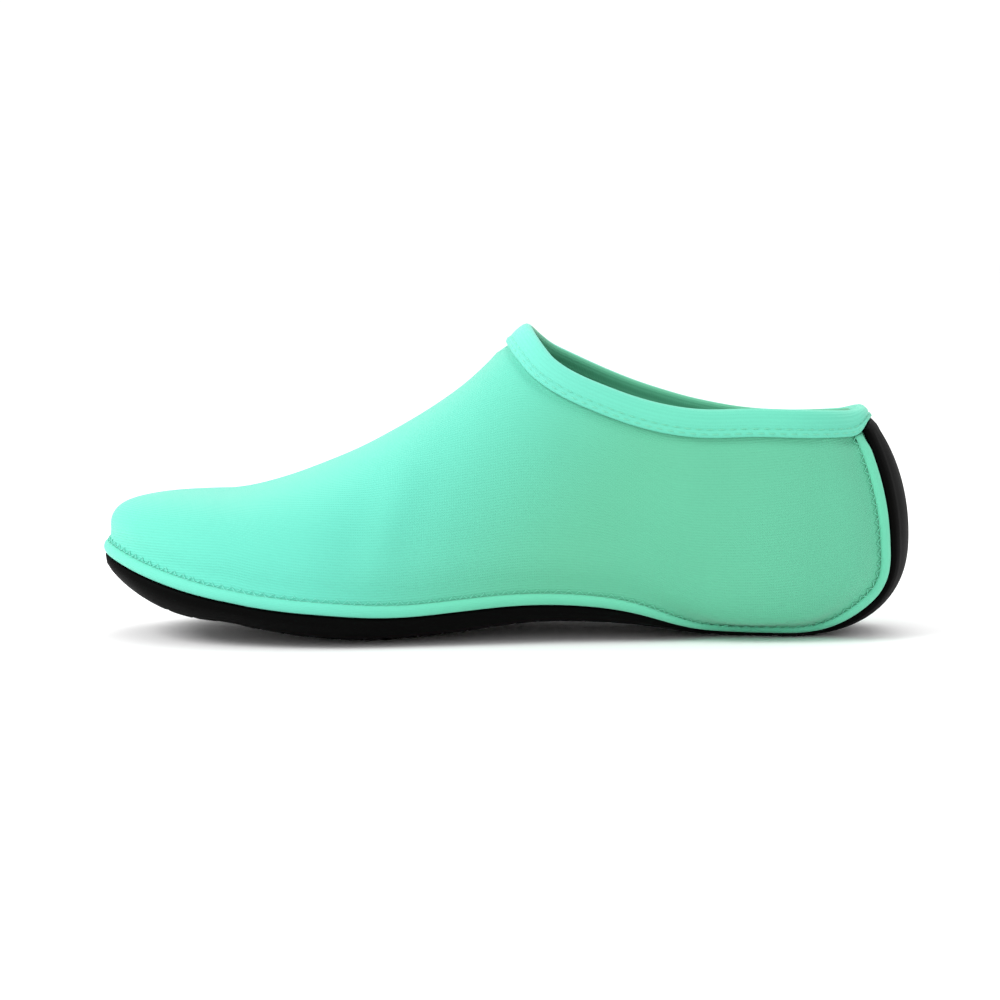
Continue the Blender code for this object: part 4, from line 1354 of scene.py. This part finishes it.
def knit(name, front_lit, rear_shaded, pitch, strength):
    """Fine stretch knit: rows of small loops, soft sheen, and painted light and shade from the lit toe
    and instep to the shaded low rear, partly a real change of tone.
    """
    made, tree, shader = blank(name)
    place = node(tree, "ShaderNodeTexCoord", {})
    where = place.outputs["Object"]
    along, down, _ = axes(tree, place.outputs["UV"])
    turn = 2.0 * math.pi / pitch
    ribs = maths(tree, "ABSOLUTE", maths(tree, "SINE", maths(tree, "MULTIPLY", along, turn)))
    rows = maths(tree, "MULTIPLY", down, turn * 1.25)
    loops = maths(tree, "SINE", maths(tree, "ADD", rows, maths(tree, "MULTIPLY", ribs, 1.6)))
    weave = maths(tree, "MULTIPLY", maths(tree, "ADD", loops, 1.0), maths(tree, "ADD", ribs, 0.35))
    cloud = noise(tree, where, 28.0, 4.0)
    fleck = noise(tree, where, 900.0, 2.0)
    # Painted light and shade: lit colour at the toe and instep, shaded colour low at the rear
    base = mix(tree, painted_shade_rearward(tree, where), rgba(front_lit), rgba(rear_shaded))
    toned = mix(tree, maths(tree, "MULTIPLY", cloud, 0.16), base, rgba(rear_shaded, 0.72))
    shade = maths(tree, "MULTIPLY", maths(tree, "SUBTRACT", 1.35, weave), 0.10)
    height = maths(tree, "ADD", weave, maths(tree, "MULTIPLY", fleck, 0.5))
    soft = bump(tree, cloud, 0.25, 0.0012)
    inputs = {
        "Base Color": mix(tree, shade, toned, rgba(rear_shaded, 0.55)),
        "Roughness": maths(tree, "ADD", 0.56, maths(tree, "MULTIPLY", fleck, 0.22)),
        "Sheen Weight": 0.22,
        "Sheen Roughness": 0.45,
        "Sheen Tint": (0.85, 1.0, 0.96, 1.0),
        "Specular IOR Level": 0.35,
        "Normal": bump(tree, height, strength, 0.00022, Normal=soft),
    }
    feed(tree, shader, inputs)
    return made


def rubber(name):
    """Moulded rubber: fine grain, faint scuffs low down and a satin gloss."""
    made, tree, shader = blank(name)
    where = node(tree, "ShaderNodeTexCoord", {}).outputs["Object"]
    _, _, z = axes(tree, where)
    grain = noise(tree, where, 1400.0, 3.0)
    cloud = noise(tree, where, 60.0, 6.0)
    low = step(tree, z, 0.0022, 0.0)
    worn = step(tree, cloud, 0.42, 0.70)
    scuffs = maths(tree, "MULTIPLY", low, maths(tree, "ADD", worn, 0.35))
    film = maths(tree, "MULTIPLY", cloud, 0.006)
    dust = maths(tree, "ADD", maths(tree, "MULTIPLY", scuffs, 0.09), film)
    inputs = {
        "Base Color": mix(tree, dust, rgba(colours().rubber), (0.20, 0.19, 0.17, 1.0)),
        "Roughness": maths(tree, "ADD", 0.46, maths(tree, "MULTIPLY", cloud, 0.20)),
        "Specular IOR Level": 0.02,
        "Normal": bump(tree, grain, 0.35, 0.00012),
    }
    feed(tree, shader, inputs)
    return made


def thread(name):
    """Twisted polyester thread."""
    found = bpy.data.materials.get(name)
    if found:
        return found
    made, tree, shader = blank(name)
    place = node(tree, "ShaderNodeTexCoord", {})
    along, around, _ = axes(tree, place.outputs["UV"])
    slant = maths(tree, "MULTIPLY", maths(tree, "ADD", along, around), 2.0 * math.pi / 0.0006)
    twist = maths(tree, "SINE", slant)
    front_lit = rgba(colours().thread)
    rear_shaded = colours().thread_rear_shaded
    # Painted light and shade along the thread, lit at the toe and shaded low at the rear, as on the knit
    base = mix(tree, painted_shade_rearward(tree, place.outputs["Object"]), front_lit, rgba(rear_shaded))
    shade = maths(tree, "MULTIPLY", maths(tree, "ADD", twist, 1.0), 0.12)
    inputs = {
        "Base Color": mix(tree, shade, base, rgba(rear_shaded, 0.6)),
        "Roughness": 0.5,
        "Sheen Weight": 0.2,
        "Normal": bump(tree, twist, 0.4, 0.00008),
    }
    feed(tree, shader, inputs)
    return made


def area_light(light):
    """A soft square white light aimed at the shoe."""
    data = bpy.data.lights.new(light.name, "AREA")
    data.shape = "SQUARE"
    data.size = light.size
    data.energy = light.power
    made = bpy.data.objects.new(light.name, data)
    made.location = light.place
    way = Vector(LIGHT_TARGET) - Vector(light.place)
    made.rotation_euler = way.to_track_quat("-Z", "Y").to_euler()
    bpy.context.collection.objects.link(made)


def make_stage():
    """Pale floor, white surroundings, soft lights and the camera."""
    scene = bpy.context.scene
    scene.view_settings.view_transform = "Standard"
    mesh = bmesh.new()
    bmesh.ops.create_grid(mesh, x_segments=1, y_segments=1, size=3.0)
    data = bpy.data.meshes.new("floor")
    mesh.to_mesh(data)
    mesh.free()
    floor = bpy.data.objects.new("floor", data)
    floor.location = (0.0, 0.0, -0.00005)
    bpy.context.collection.objects.link(floor)
    made, tree, shader = blank("pale_floor")
    feed(tree, shader, {"Base Color": FLOOR_COLOUR, "Roughness": 1.0, "Specular IOR Level": 0.0})
    floor.data.materials.append(made)
    world = bpy.data.worlds.new("studio")
    scene.world = world
    world.use_nodes = True
    back = world.node_tree.nodes["Background"]
    feed(world.node_tree, back, {"Color": (1.0, 1.0, 1.0, 1.0), "Strength": SKY_STRENGTH})
    for light in LIGHTS:
        area_light(light)
    rise = math.radians(VIEW_RISE)
    target = Vector(VIEW_TARGET)
    place = target + Vector((0.0, -math.cos(rise), math.sin(rise))) * VIEW_DISTANCE
    camera_data = bpy.data.cameras.new("camera")
    camera_data.lens = VIEW_LENS
    camera_data.sensor_width = 36.0
    camera_data.clip_start = 0.01
    camera = bpy.data.objects.new("camera", camera_data)
    camera.location = place
    camera.rotation_euler = (target - place).to_track_quat("-Z", "Y").to_euler()
    bpy.context.collection.objects.link(camera)
    scene.camera = camera


class SHOE_OT_upper(bpy.types.Operator):
    """Make the stretch upper"""

    bl_idname = "shoe.upper"
    bl_label = "Upper"

    def execute(self, context):
        make_upper()
        return {"FINISHED"}


class SHOE_OT_outsole(bpy.types.Operator):
    """Make the rubber outsole with its heel strip"""

    bl_idname = "shoe.outsole"
    bl_label = "Outsole"

    def execute(self, context):
        make_outsole()
        return {"FINISHED"}


class SHOE_OT_trim(bpy.types.Operator):
    """Make the piping, the collar's hem and their stitching"""

    bl_idname = "shoe.trim"
    bl_label = "Piping and hem"

    def execute(self, context):
        make_piping()
        make_binding()
        make_hem_stitching()
        make_seam_stitching()
        return {"FINISHED"}


class SHOE_OT_insole(bpy.types.Operator):
    """Make the insole"""

    bl_idname = "shoe.insole"
    bl_label = "Insole"

    def execute(self, context):
        make_insole()
        return {"FINISHED"}


class SHOE_OT_stage(bpy.types.Operator):
    """Make the floor, the lights and the camera"""

    bl_idname = "shoe.stage"
    bl_label = "Stage"

    def execute(self, context):
        make_stage()
        return {"FINISHED"}


OPERATORS = [SHOE_OT_stage, SHOE_OT_upper, SHOE_OT_outsole, SHOE_OT_trim, SHOE_OT_insole]


class SHOE_PT_panel(bpy.types.Panel):
    """Panel that lists the shoe's pieces and sizes"""

    bl_idname = "SHOE_PT_panel"
    bl_label = "Water Shoe"
    bl_space_type = "VIEW_3D"
    bl_region_type = "UI"
    bl_category = "Water Shoe"

    def draw(self, context):
        layout = self.layout
        for operator in OPERATORS:
            layout.operator(operator.bl_idname)
        for name in ShoeSizes.__annotations__:
            layout.prop(context.scene.shoe_sizes, name)
        for name in ShoeColours.__annotations__:
            layout.prop(context.scene.shoe_colours, name)


CLASSES = [ShoeSizes, ShoeColours, *OPERATORS, SHOE_PT_panel]


def register():
    """Register the classes and the scene's properties."""
    for cls in CLASSES:
        bpy.utils.register_class(cls)
    bpy.types.Scene.shoe_sizes = bpy.props.PointerProperty(type=ShoeSizes)
    bpy.types.Scene.shoe_colours = bpy.props.PointerProperty(type=ShoeColours)


def unregister():
    """Remove the classes and the scene's properties."""
    del bpy.types.Scene.shoe_colours
    del bpy.types.Scene.shoe_sizes
    for cls in reversed(CLASSES):
        bpy.utils.unregister_class(cls)


def main():
    """Build the dressed shoe."""
    register()
    bpy.ops.shoe.stage()
    bpy.ops.shoe.upper()
    bpy.ops.shoe.outsole()
    bpy.ops.shoe.trim()
    bpy.ops.shoe.insole()


if __name__ == "__main__":
    main()
